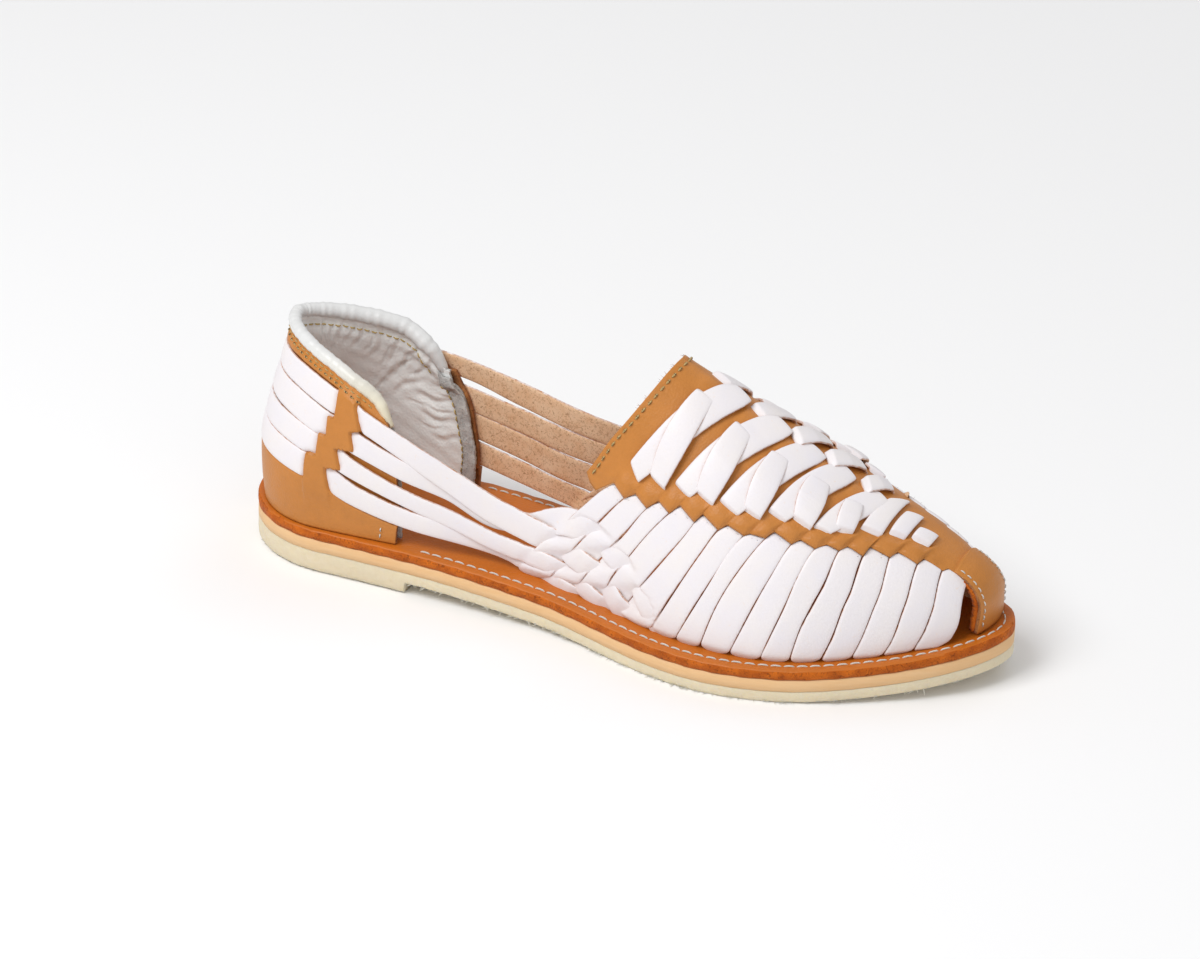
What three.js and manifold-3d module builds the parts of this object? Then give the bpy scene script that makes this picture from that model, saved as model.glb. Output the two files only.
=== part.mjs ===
// Woven leather huarache sandal for the right foot, standing empty on its sole.
// Millimetres. +X runs from heel to toe, +Y to the inner side of the foot, +Z up.
// The last is worked out from length, ball width, instep and heel height, and the
// upper, counter and straps are walls laid a few offsets off that one form.
import * as THREE from 'three';
import { mergeVertices } from 'three/addons/utils/BufferGeometryUtils.js';
import Module from 'manifold-3d';

const wasm = await Module();
wasm.setup();

// Driving sizes
const shoeLength = 250;
const toeSway = 8.4; // how far the toe swings to the inner side
const swayFrom = 0.45; // share of the length where it starts to
const heelRound = 31; // plan radius of the heel end
const toeRound = 58; // length over which the toe closes
const toePower = 1.9; // a little more pointed than an ellipse
const seatRise = 4; // the insole's heel stands this much above its forefoot
const seatFall = { from: 0.25, over: 0.35 }; // shares of the length where it comes down
const toeSpring = 6.6;
const springFrom = 0.72; // share of the length where the toe starts to lift
const gap = 0.3; // clearance between pieces that touch

const crepeThick = 3.7;
const midsoleThick = 3.7;
const insoleThick = 3;
const heelBreast = 61; // length of the heel lift
const breastSlope = 0.6;
const heelEdge = 2.6; // rounding of the crepe's bottom edge under the heel
const soleEdge = 0.9; // the same along the rest of the sole
const midsoleEdge = 0.2;
const insoleEdge = 0.4;
const stackThick = crepeThick + gap + midsoleThick + gap + insoleThick;

const weaveSet = -1; // the weave's face lies this far inside the form
const weaveThick = 2.2; // two layers of strap in the woven vamp
const panelThick = 1.3;
const panelGap = 0.5; // clearance of the panel's flat facets over the weave
const counterSet = -0.4; // the counter's face, just inside the form
const counterThick = 3.6; // leather, stiffener and lining together
const recessSet = -2.15; // where the four bands press it in
const strapThick = 1.6;
const strapSunk = -0.8; // middle of a strap that lies on the form
const strapUnder = -2.4; // middle of a strap that runs under the counter's bridge
const slitRun = 0.09; // how quickly a strap dips through its slit
const bridgeFace = 0;
const bridgeRoot = -2.8;
const collarRound = 2.3; // radius of the rolled collar
const collarSet = -1.8; // its middle line, inside the form
const collarSeat = 3.3; // from that line down to the counter's top edge
const collarLean = 2.5; // how far its front ends step in behind the top straps
const lastEnd = 244.5; // the last stops short of the sole's tip

// Half widths of the sole, from its centre line, at stations from the heel
const soleRows = [
  { at: 0, outer: 27, inner: 27 },
  { at: 33, outer: 27, inner: 27 },
  { at: 105, outer: 30, inner: 24.5 },
  { at: 172, outer: 46.4, inner: 43.4 },
  { at: 220, outer: 38, inner: 35 },
  { at: 250, outer: 33, inner: 30 },
];

// The last's sections: height of its top line over the insole, how full the
// section's shoulders are, and how far its foot stands in from the sole's edge
const lastRows = [
  { at: 0, ridge: 78, full: 2.3, inset: 1.2 },
  { at: 30, ridge: 86, full: 2.3, inset: 1.2 },
  { at: 60, ridge: 96, full: 2.6, inset: 3 },
  { at: 80, ridge: 97, full: 2.5, inset: 5.8 },
  { at: 100, ridge: 96, full: 2.35, inset: 7.8 },
  { at: 125, ridge: 86, full: 1.95, inset: 7.8 },
  { at: 143, ridge: 76, full: 1.75, inset: 7 },
  { at: 160, ridge: 66.5, full: 1.8, inset: 6.6 },
  { at: 185, ridge: 53, full: 1.88, inset: 5.2 },
  { at: 205, ridge: 41, full: 2.05, inset: 4.6 },
  { at: 225, ridge: 29.5, full: 2.2, inset: 4.8 },
  { at: 241, ridge: 16, full: 2.3, inset: 5 },
  { at: 244.5, ridge: 9, full: 2.3, inset: 5 },
];

// Profile of the back of the heel: how far each height stands in from the sole's back
const backRows = [
  { at: 10, in: 2.6 },
  { at: 23, in: 1.1 },
  { at: 34, in: 0.7 },
  { at: 49, in: 3.2 },
  { at: 67, in: 7.7 },
  { at: 90, in: 11 },
];

// Places on the heel and sides are given by a turn and a height over the floor.
// The turn is 0 at the middle of the back, 1 where the heel's curve ends, and from
// there it grows by 1 every 40 mm towards the toe.
const backDepth = 25;
const turnLength = 40;

// How far forward of the back the heel's plan reaches its full width, by height
const planRows = [
  { at: 10, depth: 27 },
  { at: 25, depth: 28 },
  { at: 75, depth: 46 },
  { at: 90, depth: 48 },
];

// Middle line of the rolled collar
const collarRows = [
  { at: 0, height: 75.5 },
  { at: 0.5, height: 73.4 },
  { at: 0.85, height: 71 },
  { at: 1.07, height: 68.9 },
  { at: 1.25, height: 66.2 },
  { at: 1.42, height: 62.2 },
  { at: 1.6, height: 56.8 },
];

// Front edge of the counter on each side, from the insole up to the collar
const counterRows = [
  { at: 0, outer: 1.74, inner: 1.94 },
  { at: 0.3, outer: 1.79, inner: 1.98 },
  { at: 0.65, outer: 1.75, inner: 1.9 },
  { at: 1, outer: 1.58, inner: 1.66 },
];

// The two echelons of slits in the counter, as turns at a low, middle and high place
const slitRows = [
  { at: 30, back: 0.96, front: 1.18 },
  { at: 45, back: 1.06, front: 1.27 },
  { at: 62, back: 1.11, front: 1.35 },
];

// The four straps: their width, and the heights of their middle lines at the middle
// of the back and at these turns on each side
const strapTurns = {
  outer: [0.6, 1.1, 1.42, 1.8, 2.2, 2.6, 2.95],
  inner: [0.6, 1.1, 1.42, 1.8, 2.3, 2.8, 3.3],
};
const strapRows = [
  {
    width: 7.6, back: 64.5,
    outer: [63.5, 60, 55.5, 49, 41, 33.5, 28],
    inner: [63.5, 60, 57, 55.6, 53.5, 50, 46.5],
  },
  {
    width: 7.6, back: 56,
    outer: [55, 51.4, 47.5, 42, 36, 29.5, 25],
    inner: [55, 51.4, 48, 46, 44.3, 41.5, 38],
  },
  {
    width: 7.8, back: 47.5,
    outer: [47, 44, 38.8, 33.2, 28, 23, 20],
    inner: [47, 44, 39.8, 37, 35.2, 32, 29],
  },
  {
    width: 8, back: 39.2,
    outer: [38.5, 35.8, 30, 25.5, 22.6, 20, 18.8],
    inner: [38.5, 35.8, 30.8, 28, 26.2, 23, 20.5],
  },
];

// The tan panel: the girth from the top line to its side edges
const panelRows = [
  { at: 112, girth: 53 },
  { at: 145, girth: 46 },
  { at: 176, girth: 38 },
  { at: 204, girth: 24 },
  { at: 231, girth: 10.5 },
  { at: 240, girth: 8.5 },
];
const throatTop = 141; // station where the throat crosses the top line
const throatCorner = 120; // station of the panel's rear corners
const throatCurve = 1.35; // how soon the throat's edge turns back from the top line
const cornerShare = 0.5; // share of the weave's half girth where those corners lie
const waistCurve = 1.1; // the same for the edge from there down to the sole
const weaveFoot = 99; // station where the weave first meets the sole
const weaveToe = { top: 237.5, foot: 232.5 }; // front edge of the weave

// The toe tab, which carries the panel down over the toe to the insole:
// height over the insole, side shift and half width along it
const tabRows = [
  { station: 234, height: 24.2, shift: 0, half: 8.6 },
  { station: 239, height: 20, shift: 0, half: 8.6 },
  { station: 242.8, height: 14.6, shift: 0.6, half: 9.2 },
  { station: 244.6, height: 8.4, shift: 1.4, half: 10 },
  { station: 244.4, height: 0.8, shift: 2.2, half: 11 },
];
const tabBow = 2.6; // how far the tab's sides fall behind its middle

// Small tools for curves
const smooth = (t) => {
  const s = Math.min(1, Math.max(0, t));
  return s * s * (3 - 2 * s);
};
const roundEnd = (d, r, power = 2) => {
  const t = Math.min(1, Math.max(0, 1 - d / r));
  return (1 - t ** power) ** (1 / power);
};

// A curve through the rows of a table that never overshoots between them
function through(rows, column) {
  const x = rows.map((row) => row.at);
  const y = rows.map((row) => row[column]);
  const last = x.length - 1;
  const slope = x.slice(1).map((next, i) => (y[i + 1] - y[i]) / (next - x[i]));
  const tangent = x.map((_, i) => {
    if (i === 0) return slope[0];
    if (i === last) return slope[last - 1];
    const product = slope[i - 1] * slope[i];
    return product <= 0 ? 0 : (2 * product) / (slope[i - 1] + slope[i]);
  });
  return (at) => {
    const a = Math.min(x[last], Math.max(x[0], at));
    let i = 0;
    while (i < last - 1 && a > x[i + 1]) i += 1;
    const span = x[i + 1] - x[i];
    const t = (a - x[i]) / span;
    const rise = smooth(t);
    const start = t * (1 - t) ** 2 * span * tangent[i];
    const end = t * t * (1 - t) * span * tangent[i + 1];
    return y[i] * (1 - rise) + y[i + 1] * rise + start - end;
  };
}

// The sole's plan and heights
const halfWidth = { outer: through(soleRows, 'outer'), inner: through(soleRows, 'inner') };
const centreLine = (x) => toeSway * smooth((x / shoeLength - swayFrom) / (1 - swayFrom));
const closing = (x) => roundEnd(x, heelRound) * roundEnd(shoeLength - x, toeRound, toePower);
const soleHalf = (x, side) => halfWidth[side](x) * closing(x);
const spring = (x) => toeSpring * Math.max(0, (x / shoeLength - springFrom) / (1 - springFrom)) ** 2;
const archRise = (x) => seatRise * (1 - smooth((x / shoeLength - seatFall.from) / seatFall.over));
const lift = (x) => archRise(x) + spring(x);
const insoleTop = (x) => lift(x) + stackThick;
const upperFoot = (x) => insoleTop(x) + gap;

// The last's section at a station, as a height and a side
const ridge = through(lastRows, 'ridge');
const full = through(lastRows, 'full');
const inset = through(lastRows, 'inset');
const heelBack = through(backRows, 'in');
const planDepth = through(planRows, 'depth');
const belly = { swell: 0.06, high: 1.6, from: 50, over: 40 }; // the heel's low swelling
const lastHalf = (x, side) =>
  (halfWidth[side](x) - inset(x)) * roundEnd(lastEnd - x, toeRound, toePower);

// The heel and sides: outward when the height comes before the turn
const topShare = 0.999; // the form stops just short of its own top line
function heelForm(height, turn) {
  const side = turn < 0 ? 'outer' : 'inner';
  const sign = Math.sign(turn);
  const around = Math.abs(turn);
  const quarter = (Math.min(1, around) * Math.PI) / 2;
  const along = backDepth * (1 - Math.cos(quarter)) + Math.max(0, around - 1) * turnLength;
  const plan = roundEnd(along, planDepth(height));
  const x = heelBack(height) + along;
  const up = Math.min(topShare, Math.max(0, (height - upperFoot(x)) / ridge(x)));
  const fade = 1 - smooth((x - belly.from) / belly.over);
  const round = 1 + belly.swell * Math.sin(Math.PI * Math.min(1, up * belly.high)) * fade;
  const half = (halfWidth[side](x) - inset(x)) * (1 - up ** full(x)) ** (1 / full(x));
  return new THREE.Vector3(x, centreLine(x) + sign * half * round * plan, height);
}

// The vamp: an arch over the foot at each station, its angle 0 at the outer side
function archPoint(x, angle) {
  const c = Math.cos(angle);
  const s = Math.max(0, Math.sin(angle));
  const power = 2 / full(x);
  const half = lastHalf(x, c > 0 ? 'outer' : 'inner');
  const y = centreLine(x) - half * Math.sign(c) * Math.abs(c) ** power;
  return new THREE.Vector3(x, y, upperFoot(x) + ridge(x) * s ** power);
}

// Girths along that arch from its top, negative on the outer side
const archSteps = 96;
const archMemory = new Map();
function archGirths(x) {
  const key = Math.round(x * 1000);
  if (archMemory.has(key)) return archMemory.get(key);
  const angles = Array.from({ length: archSteps + 1 }, (_, i) => (Math.PI * i) / archSteps);
  const girths = [0];
  angles.slice(1).forEach((angle, i) => {
    girths.push(girths[i] + archPoint(x, angle).distanceTo(archPoint(x, angles[i])));
  });
  const top = girths[archSteps / 2];
  const found = girths.map((girth) => girth - top);
  archMemory.set(key, found);
  return found;
}
function vampForm(x, girth) {
  const girths = archGirths(x);
  let i = 0;
  while (i < archSteps - 1 && girths[i + 1] < girth) i += 1;
  const share = (girth - girths[i]) / (girths[i + 1] - girths[i]);
  return archPoint(x, (Math.PI * (i + Math.min(1, Math.max(0, share)))) / archSteps);
}

// A point moved along the outward normal of a form
const probe = 0.02;
function normalOf(form, u, v) {
  const along = form(u + probe, v).sub(form(u - probe, v));
  const across = form(u, v + probe).sub(form(u, v - probe));
  return along.cross(across).normalize();
}
const offset = (form, u, v, distance) =>
  form(u, v).addScaledVector(normalOf(form, u, v), distance);

// Solids from points
function solidOf(points, faces) {
  const flat = new Float32Array(points.flatMap((p) => [p.x, p.y, p.z]));
  const turned = ([a, b, c]) => points[a].dot(points[b].clone().cross(points[c]));
  const volume = faces.reduce((sum, face) => sum + turned(face), 0);
  const ordered = volume < 0 ? faces.map(([a, b, c]) => [a, c, b]) : faces;
  const mesh = { numProp: 3, vertProperties: flat, triVerts: new Uint32Array(ordered.flat()) };
  return new wasm.Manifold(new wasm.Mesh(mesh));
}

// Closed rings of points, one after another, with flat ends
function loft(rings) {
  const count = rings[0].length;
  const faces = [];
  rings.slice(1).forEach((_, i) => {
    for (let j = 0; j < count; j += 1) {
      const a = i * count + j;
      const b = i * count + ((j + 1) % count);
      faces.push([a, b, b + count], [a, b + count, a + count]);
    }
  });
  const end = (rings.length - 1) * count;
  for (let j = 1; j < count - 1; j += 1) {
    faces.push([0, j + 1, j], [end, end + j, end + j + 1]);
  }
  return solidOf(rings.flat(), faces);
}

// A wall between two sheets that share the same rows and columns
function wall(outerAt, innerAt, rows, columns) {
  const rings = [];
  for (let i = 0; i <= rows; i += 1) {
    const ring = [];
    for (let j = 0; j <= columns; j += 1) ring.push(outerAt(i / rows, j / columns));
    for (let j = columns; j >= 0; j -= 1) ring.push(innerAt(i / rows, j / columns));
    rings.push(ring);
  }
  const count = rings[0].length;
  const faces = [];
  for (let i = 0; i < rows; i += 1) {
    for (let j = 0; j < count; j += 1) {
      const a = i * count + j;
      const b = i * count + ((j + 1) % count);
      faces.push([a, b, b + count], [a, b + count, a + count]);
    }
  }
  const end = rows * count;
  for (let j = 0; j < columns; j += 1) {
    const k = count - 1 - j;
    faces.push([j, k, k - 1], [j, k - 1, j + 1]);
    faces.push([end + j, end + k - 1, end + k], [end + j, end + j + 1, end + k - 1]);
  }
  return solidOf(rings.flat(), faces);
}

// Stations along the sole, closer together round its ends
const middleStations = [
  40, 50, heelBreast, heelBreast + breastSlope, 74, 86, 96, 105,
  114, 124, 136, 148, 160, 171, 181,
];
const roundSteps = 11;
const endShare = 0.045; // the first share of the turn, where the end is cut flat
function stations() {
  const turns = Array.from({ length: roundSteps }, (_, i) =>
    (endShare + ((1 - endShare) * i) / (roundSteps - 1)) * Math.PI / 2);
  const heel = turns.map((turn) => heelRound * (1 - Math.cos(turn)));
  const toe = turns.map((turn) => shoeLength - toeRound * (1 - Math.cos(turn))).reverse();
  return [...heel, ...middleStations, ...toe];
}

function soleLayer(bottomAt, topAt, edgeAt) {
  return loft(stations().map((x) => {
    const y = centreLine(x);
    const low = bottomAt(x);
    const high = topAt(x);
    const outer = y - soleHalf(x, 'outer');
    const inner = y + soleHalf(x, 'inner');
    const edge = Math.min(edgeAt(x), (inner - outer) / 4);
    return [
      new THREE.Vector3(x, outer + edge, low),
      new THREE.Vector3(x, outer, low + edge),
      new THREE.Vector3(x, outer, high),
      new THREE.Vector3(x, inner, high),
      new THREE.Vector3(x, inner, low + edge),
      new THREE.Vector3(x, inner - edge, low),
    ];
  }));
}

const makeOutsole = () => soleLayer(
  (x) => (x <= heelBreast ? 0 : lift(x)),
  (x) => lift(x) + crepeThick,
  (x) => (x <= heelBreast ? heelEdge : soleEdge),
);
const midsoleBottom = crepeThick + gap;
const insoleBottom = midsoleBottom + midsoleThick + gap;
const makeMidsole = () => soleLayer(
  (x) => lift(x) + midsoleBottom,
  (x) => lift(x) + midsoleBottom + midsoleThick,
  () => midsoleEdge,
);
const makeInsole = () => soleLayer(
  (x) => lift(x) + insoleBottom,
  (x) => lift(x) + insoleBottom + insoleThick,
  () => insoleEdge,
);

// One strap all the way round the heel, from the outer waist to the inner one
function strapKnots(row) {
  const outer = strapTurns.outer.map((turn, i) => ({ at: -turn, height: row.outer[i] })).reverse();
  const inner = strapTurns.inner.map((turn, i) => ({ at: turn, height: row.inner[i] }));
  return [...outer, { at: 0, height: row.back }, ...inner];
}
const slitBack = through(slitRows, 'back');
const slitFront = through(slitRows, 'front');
const slitSteps = [-1, -0.5, 0, 0.5, 1]; // shares of a slit's run, where the strap dips
const coarseTurn = 0.15;
const slitReach = 1.2; // shares of its run that a strap's channel takes in beyond a slit
const slitClear = 1.8; // and where the strap's plain stations begin
function strapStations(row) {
  const half = (side, sign) => {
    const slits = [slitBack(row[side][1]), slitFront(row[side][2])];
    const fine = slits.flatMap((slit) => slitSteps.map((share) => slit + share * slitRun));
    const end = strapTurns[side].at(-1);
    const count = Math.ceil(end / coarseTurn);
    const coarse = Array.from({ length: count }, (_, i) => (end * (i + 1)) / count);
    const clear = slitClear * slitRun;
    const kept = coarse.filter((turn) => turn < slits[0] - clear || turn > slits[1] + clear);
    const all = [...kept, ...fine].sort((p, q) => p - q);
    return all.map((around) => ({ turn: sign * around, around, slits }));
  };
  return [...half('outer', -1).reverse(), { turn: 0, around: 0, slits: [1, 1] }, ...half('inner', 1)];
}
function strapRing(row, extra, { turn, around, slits }) {
  const heightAt = through(strapKnots(row), 'height');
  const height = heightAt(turn);
  const entering = smooth((around - slits[0]) / (2 * slitRun) + 0.5);
  const leaving = smooth((around - slits[1]) / (2 * slitRun) + 0.5);
  const depth = strapSunk + (strapUnder - strapSunk) * (entering - leaving);
  const middle = offset(heelForm, height, turn, depth);
  const normal = normalOf(heelForm, height, turn);
  const ahead = heelForm(heightAt(turn + probe), turn + probe);
  const along = ahead.sub(heelForm(heightAt(turn - probe), turn - probe));
  const across = along.cross(normal).normalize();
  const half = row.width / 2 + extra;
  const thick = strapThick / 2 + extra;
  const corner = (a, b) => {
    const point = middle.clone().addScaledVector(across, a * half);
    return point.addScaledVector(normal, b * thick);
  };
  return [corner(-1, -1), corner(1, -1), corner(1, 1), corner(-1, 1)];
}
const makeStrap = (row) => loft(strapStations(row).map((station) => strapRing(row, 0, station)));

// The counter: a U of leather, pressed in under the bands, with a bridge over the
// straps on each side, less the straps' channels
const collarHeight = through(collarRows, 'height');
const counterFront = { outer: through(counterRows, 'outer'), inner: through(counterRows, 'inner') };
const bridgeHeights = { low: 27, high: 65.5 };
const recess = { end: 2.1, margin: 0.8, past: 1.5 }; // its last turn, and how far it clears
const counterSteps = { up: 7, around: 32 };
function makeChannels() {
  const channels = strapRows.flatMap((row) => [-1, 1].map((sign) => {
    const reach = slitReach * slitRun;
    const inSlits = ({ turn, around, slits }) => Math.sign(turn) === sign
      && around > slits[0] - reach && around < slits[1] + reach;
    return loft(strapStations(row).filter(inSlits).map((station) => strapRing(row, gap, station)));
  }));
  return channels.reduce((all, next) => all.add(next));
}
function makeRecess() {
  const topLine = through(strapKnots(strapRows[0]), 'height');
  const footLine = through(strapKnots(strapRows.at(-1)), 'height');
  const face = (distance) => (up, around) => {
    const turn = recess.end * (2 * around - 1);
    const low = footLine(turn) - strapRows.at(-1).width / 2 - recess.margin;
    const high = topLine(turn) + strapRows[0].width / 2 + recess.margin;
    return offset(heelForm, low + (high - low) * up, turn, distance);
  };
  return wall(face(recess.past), face(recessSet), 4, counterSteps.around);
}
function makeCounter() {
  const sheet = (distance) => (up, around) => {
    const share = 2 * around - 1;
    const turn = share * counterFront[share < 0 ? 'outer' : 'inner'](up);
    const foot = insoleTop(0) + gap;
    const top = collarHeight(Math.abs(turn)) - collarSeat;
    return offset(heelForm, foot + (top - foot) * up, turn, distance);
  };
  const bridge = (sign) => {
    const face = (distance) => (up, across) => {
      const height = bridgeHeights.low + (bridgeHeights.high - bridgeHeights.low) * up;
      const turn = slitBack(height) + (slitFront(height) - slitBack(height)) * across;
      return offset(heelForm, Math.min(height, collarHeight(turn) - collarSeat), sign * turn, distance);
    };
    return wall(face(bridgeFace), face(bridgeRoot), 6, 2);
  };
  const inside = counterSet - counterThick;
  const body = wall(sheet(counterSet), sheet(inside), counterSteps.up, counterSteps.around);
  return body.subtract(makeRecess()).add(bridge(-1)).add(bridge(1)).subtract(makeChannels());
}

// The rolled collar along the counter's top edge
const collarSides = 8;
const collarSteps = 36;
const collarKnots = 24;
const leanFrom = { turn: 1.1, over: 0.3 };
function makeCollar() {
  const end = collarRows.at(-1).at;
  const points = Array.from({ length: collarKnots + 1 }, (_, i) => {
    const turn = end * ((2 * i) / collarKnots - 1);
    const lean = collarLean * smooth((Math.abs(turn) - leanFrom.turn) / leanFrom.over);
    return offset(heelForm, collarHeight(Math.abs(turn)), turn, collarSet - lean);
  });
  const round = new THREE.Shape();
  for (let i = 0; i < collarSides; i += 1) {
    const angle = (2 * Math.PI * i) / collarSides;
    const corner = [collarRound * Math.cos(angle), collarRound * Math.sin(angle)];
    if (i === 0) round.moveTo(...corner);
    else round.lineTo(...corner);
  }
  const extrudePath = new THREE.CatmullRomCurve3(points);
  return new THREE.ExtrudeGeometry(round, { steps: collarSteps, bevelEnabled: false, extrudePath });
}

// The woven vamp, open at the throat, the toe and underneath
function rearEdge(share) {
  const side = Math.abs(share);
  if (side < cornerShare) {
    return throatTop - (throatTop - throatCorner) * (side / cornerShare) ** throatCurve;
  }
  const below = (side - cornerShare) / (1 - cornerShare);
  return throatCorner - (throatCorner - weaveFoot) * below ** waistCurve;
}
const vampSteps = { along: 18, around: 34 };
const frontEdge = (share) => weaveToe.top + (weaveToe.foot - weaveToe.top) * share ** 2;
function makeVamp() {
  const sheet = (distance) => (along, around) => {
    const share = 2 * around - 1;
    const x = rearEdge(share) + (frontEdge(share) - rearEdge(share)) * along;
    const girths = archGirths(x);
    const girth = share < 0 ? -share * girths[0] : share * girths[archSteps];
    const point = offset(vampForm, x, girth, distance);
    point.z = Math.max(point.z, upperFoot(point.x));
    return point;
  };
  return wall(sheet(weaveSet), sheet(weaveSet - weaveThick), vampSteps.along, vampSteps.around);
}

// The tan panel over the weave, carried down over the toe by its tab
const panelGirth = through(panelRows, 'girth');
const tabCurve = (column) => through(tabRows.map((row, i) => ({ ...row, at: i })), column);
const tab = {
  station: tabCurve('station'),
  height: tabCurve('height'),
  shift: tabCurve('shift'),
  half: tabCurve('half'),
};
const tabEnd = tabRows.length - 1;
function tabForm(row, across) {
  const x = tab.station(row);
  const y = centreLine(x) + tab.shift(row) + across * tab.half(row);
  const behind = tabBow * across ** 2;
  const fall = row / tabEnd;
  return new THREE.Vector3(x - behind * fall, y, upperFoot(x) + tab.height(row) - behind * (1 - fall));
}
const panelSteps = 13;
const panelAcross = 16;
const tabSteps = 8;
function makePanel() {
  const steps = panelSteps + tabSteps;
  const sheet = (distance) => (along, around) => {
    const share = 2 * around - 1;
    const step = along * steps;
    if (step > panelSteps + 0.5) {
      return offset(tabForm, ((step - panelSteps) / tabSteps) * tabEnd, share, distance);
    }
    const throat = throatTop - (throatTop - throatCorner) * Math.abs(share) ** throatCurve;
    const x = throat + ((tabRows[0].station - throat) * step) / panelSteps;
    return offset(vampForm, x, share * panelGirth(x), distance);
  };
  const inner = weaveSet + panelGap;
  return wall(sheet(inner + panelThick), sheet(inner), steps, panelAcross);
}

// Meshes
const metalness = 0;
const leather = (color, roughness) =>
  new THREE.MeshStandardMaterial({ color, roughness, metalness });
function geometryOf(solid) {
  const { vertProperties, triVerts } = solid.getMesh();
  const geometry = new THREE.BufferGeometry();
  geometry.setAttribute('position', new THREE.BufferAttribute(vertProperties, 3));
  geometry.setIndex(new THREE.BufferAttribute(triVerts, 1));
  return geometry;
}
const weldGap = 1e-4;
function merged(geometry) {
  geometry.deleteAttribute('normal');
  geometry.deleteAttribute('uv');
  return mergeVertices(geometry, weldGap);
}

const sandal = new THREE.Group();
function place(name, geometry, material) {
  const mesh = new THREE.Mesh(geometry, material);
  mesh.name = name;
  sandal.add(mesh);
}

const upper = strapRows.map(makeStrap).reduce((all, next) => all.add(next), makeVamp());

place('outsole', geometryOf(makeOutsole()), leather(0xe3dfca, 0.75));
place('midsole', geometryOf(makeMidsole()), leather(0xf2cfa0, 0.7));
place('insole', geometryOf(makeInsole()), leather(0xc4733c, 0.6));
place('upper', geometryOf(upper), leather(0xf3edf0, 0.5));
place('counter', geometryOf(makeCounter()), leather(0xc98540, 0.5));
place('collar', merged(makeCollar()), leather(0xd0d0cd, 0.5));
place('vamp_panel', geometryOf(makePanel()), leather(0xc98540, 0.5));

// The origin is under the middle of the whole sandal, on the floor
const box = new THREE.Box3().setFromObject(sandal);
const middle = box.getCenter(new THREE.Vector3());
sandal.position.set(-middle.x, -middle.y, -box.min.z);

export default sandal;
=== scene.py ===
import math
import random

import bmesh
import bpy
import numpy as np
from mathutils import Matrix, Vector


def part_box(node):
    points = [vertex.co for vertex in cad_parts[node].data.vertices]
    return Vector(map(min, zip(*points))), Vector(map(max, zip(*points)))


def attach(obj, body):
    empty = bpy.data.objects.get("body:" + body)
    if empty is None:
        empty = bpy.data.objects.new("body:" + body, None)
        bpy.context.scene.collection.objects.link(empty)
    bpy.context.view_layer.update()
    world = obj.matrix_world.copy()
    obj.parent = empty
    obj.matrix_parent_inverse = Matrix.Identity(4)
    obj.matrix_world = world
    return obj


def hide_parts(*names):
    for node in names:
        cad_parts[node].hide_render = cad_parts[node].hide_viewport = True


# Woven leather huarache for the right foot. The forms below are in the shoe's own
# millimetres: x from the back of the heel to the toe, y to the inner side, z up from
# the floor. Meshes are put into the frame, in metres, as they are built.
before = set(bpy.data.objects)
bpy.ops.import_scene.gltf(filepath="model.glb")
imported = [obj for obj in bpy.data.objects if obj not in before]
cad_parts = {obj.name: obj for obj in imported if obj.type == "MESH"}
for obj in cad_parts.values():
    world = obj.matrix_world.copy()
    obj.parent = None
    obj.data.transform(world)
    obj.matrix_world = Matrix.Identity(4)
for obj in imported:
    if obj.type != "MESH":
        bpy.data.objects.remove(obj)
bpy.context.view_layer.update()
random.seed(7)
print("frame loaded")

# The last is the same form that the solids follow
sole = {
    "length": 250, "toeSway": 8.4, "swayFrom": 0.45,
    "heelRound": 31, "toeRound": 58, "toePower": 1.9,
    "seatRise": 4, "toeSpring": 6.6, "springFrom": 0.72,
    "crepe": 3.7, "midsole": 3.7, "insole": 3, "gap": 0.3, "breast": 61,
}
stack = sole["crepe"] + sole["midsole"] + sole["insole"] + 2 * sole["gap"]


def smooth(t):
    s = np.clip(t, 0, 1)
    return s * s * (3 - 2 * s)


def roundEnd(d, r, power=2):
    return (1 - np.clip(1 - d / r, 0, 1) ** power) ** (1 / power)


def through(at, values):  # a smooth curve through the values that never overshoots
    x, y = np.array(at, float), np.array(values, float)
    slope = np.diff(y) / np.diff(x)
    product = slope[:-1] * slope[1:]
    total = np.where(product > 0, slope[:-1] + slope[1:], 1)
    tangent = np.concatenate([slope[:1], np.where(product > 0, 2 * product / total, 0), slope[-1:]])

    def curve(at):
        a = np.clip(at, x[0], x[-1])
        i = np.clip(np.searchsorted(x, a, side="right") - 1, 0, len(x) - 2)
        span = x[i + 1] - x[i]
        t = (a - x[i]) / span
        rise = smooth(t)
        bend = t * (1 - t) ** 2 * span * tangent[i] - t * t * (1 - t) * span * tangent[i + 1]
        return y[i] * (1 - rise) + y[i + 1] * rise + bend

    return curve


def alongLine(points):  # a curve from 0 to 1 through points of a plane or of space
    p = np.array(points, float)
    steps = np.linalg.norm(np.diff(p, axis=0), axis=1)
    at = np.concatenate([[0], np.cumsum(steps)]) / steps.sum()
    parts = [through(at, p[:, k]) for k in range(p.shape[1])]
    return lambda u: np.stack([part(u) for part in parts], -1)


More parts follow.
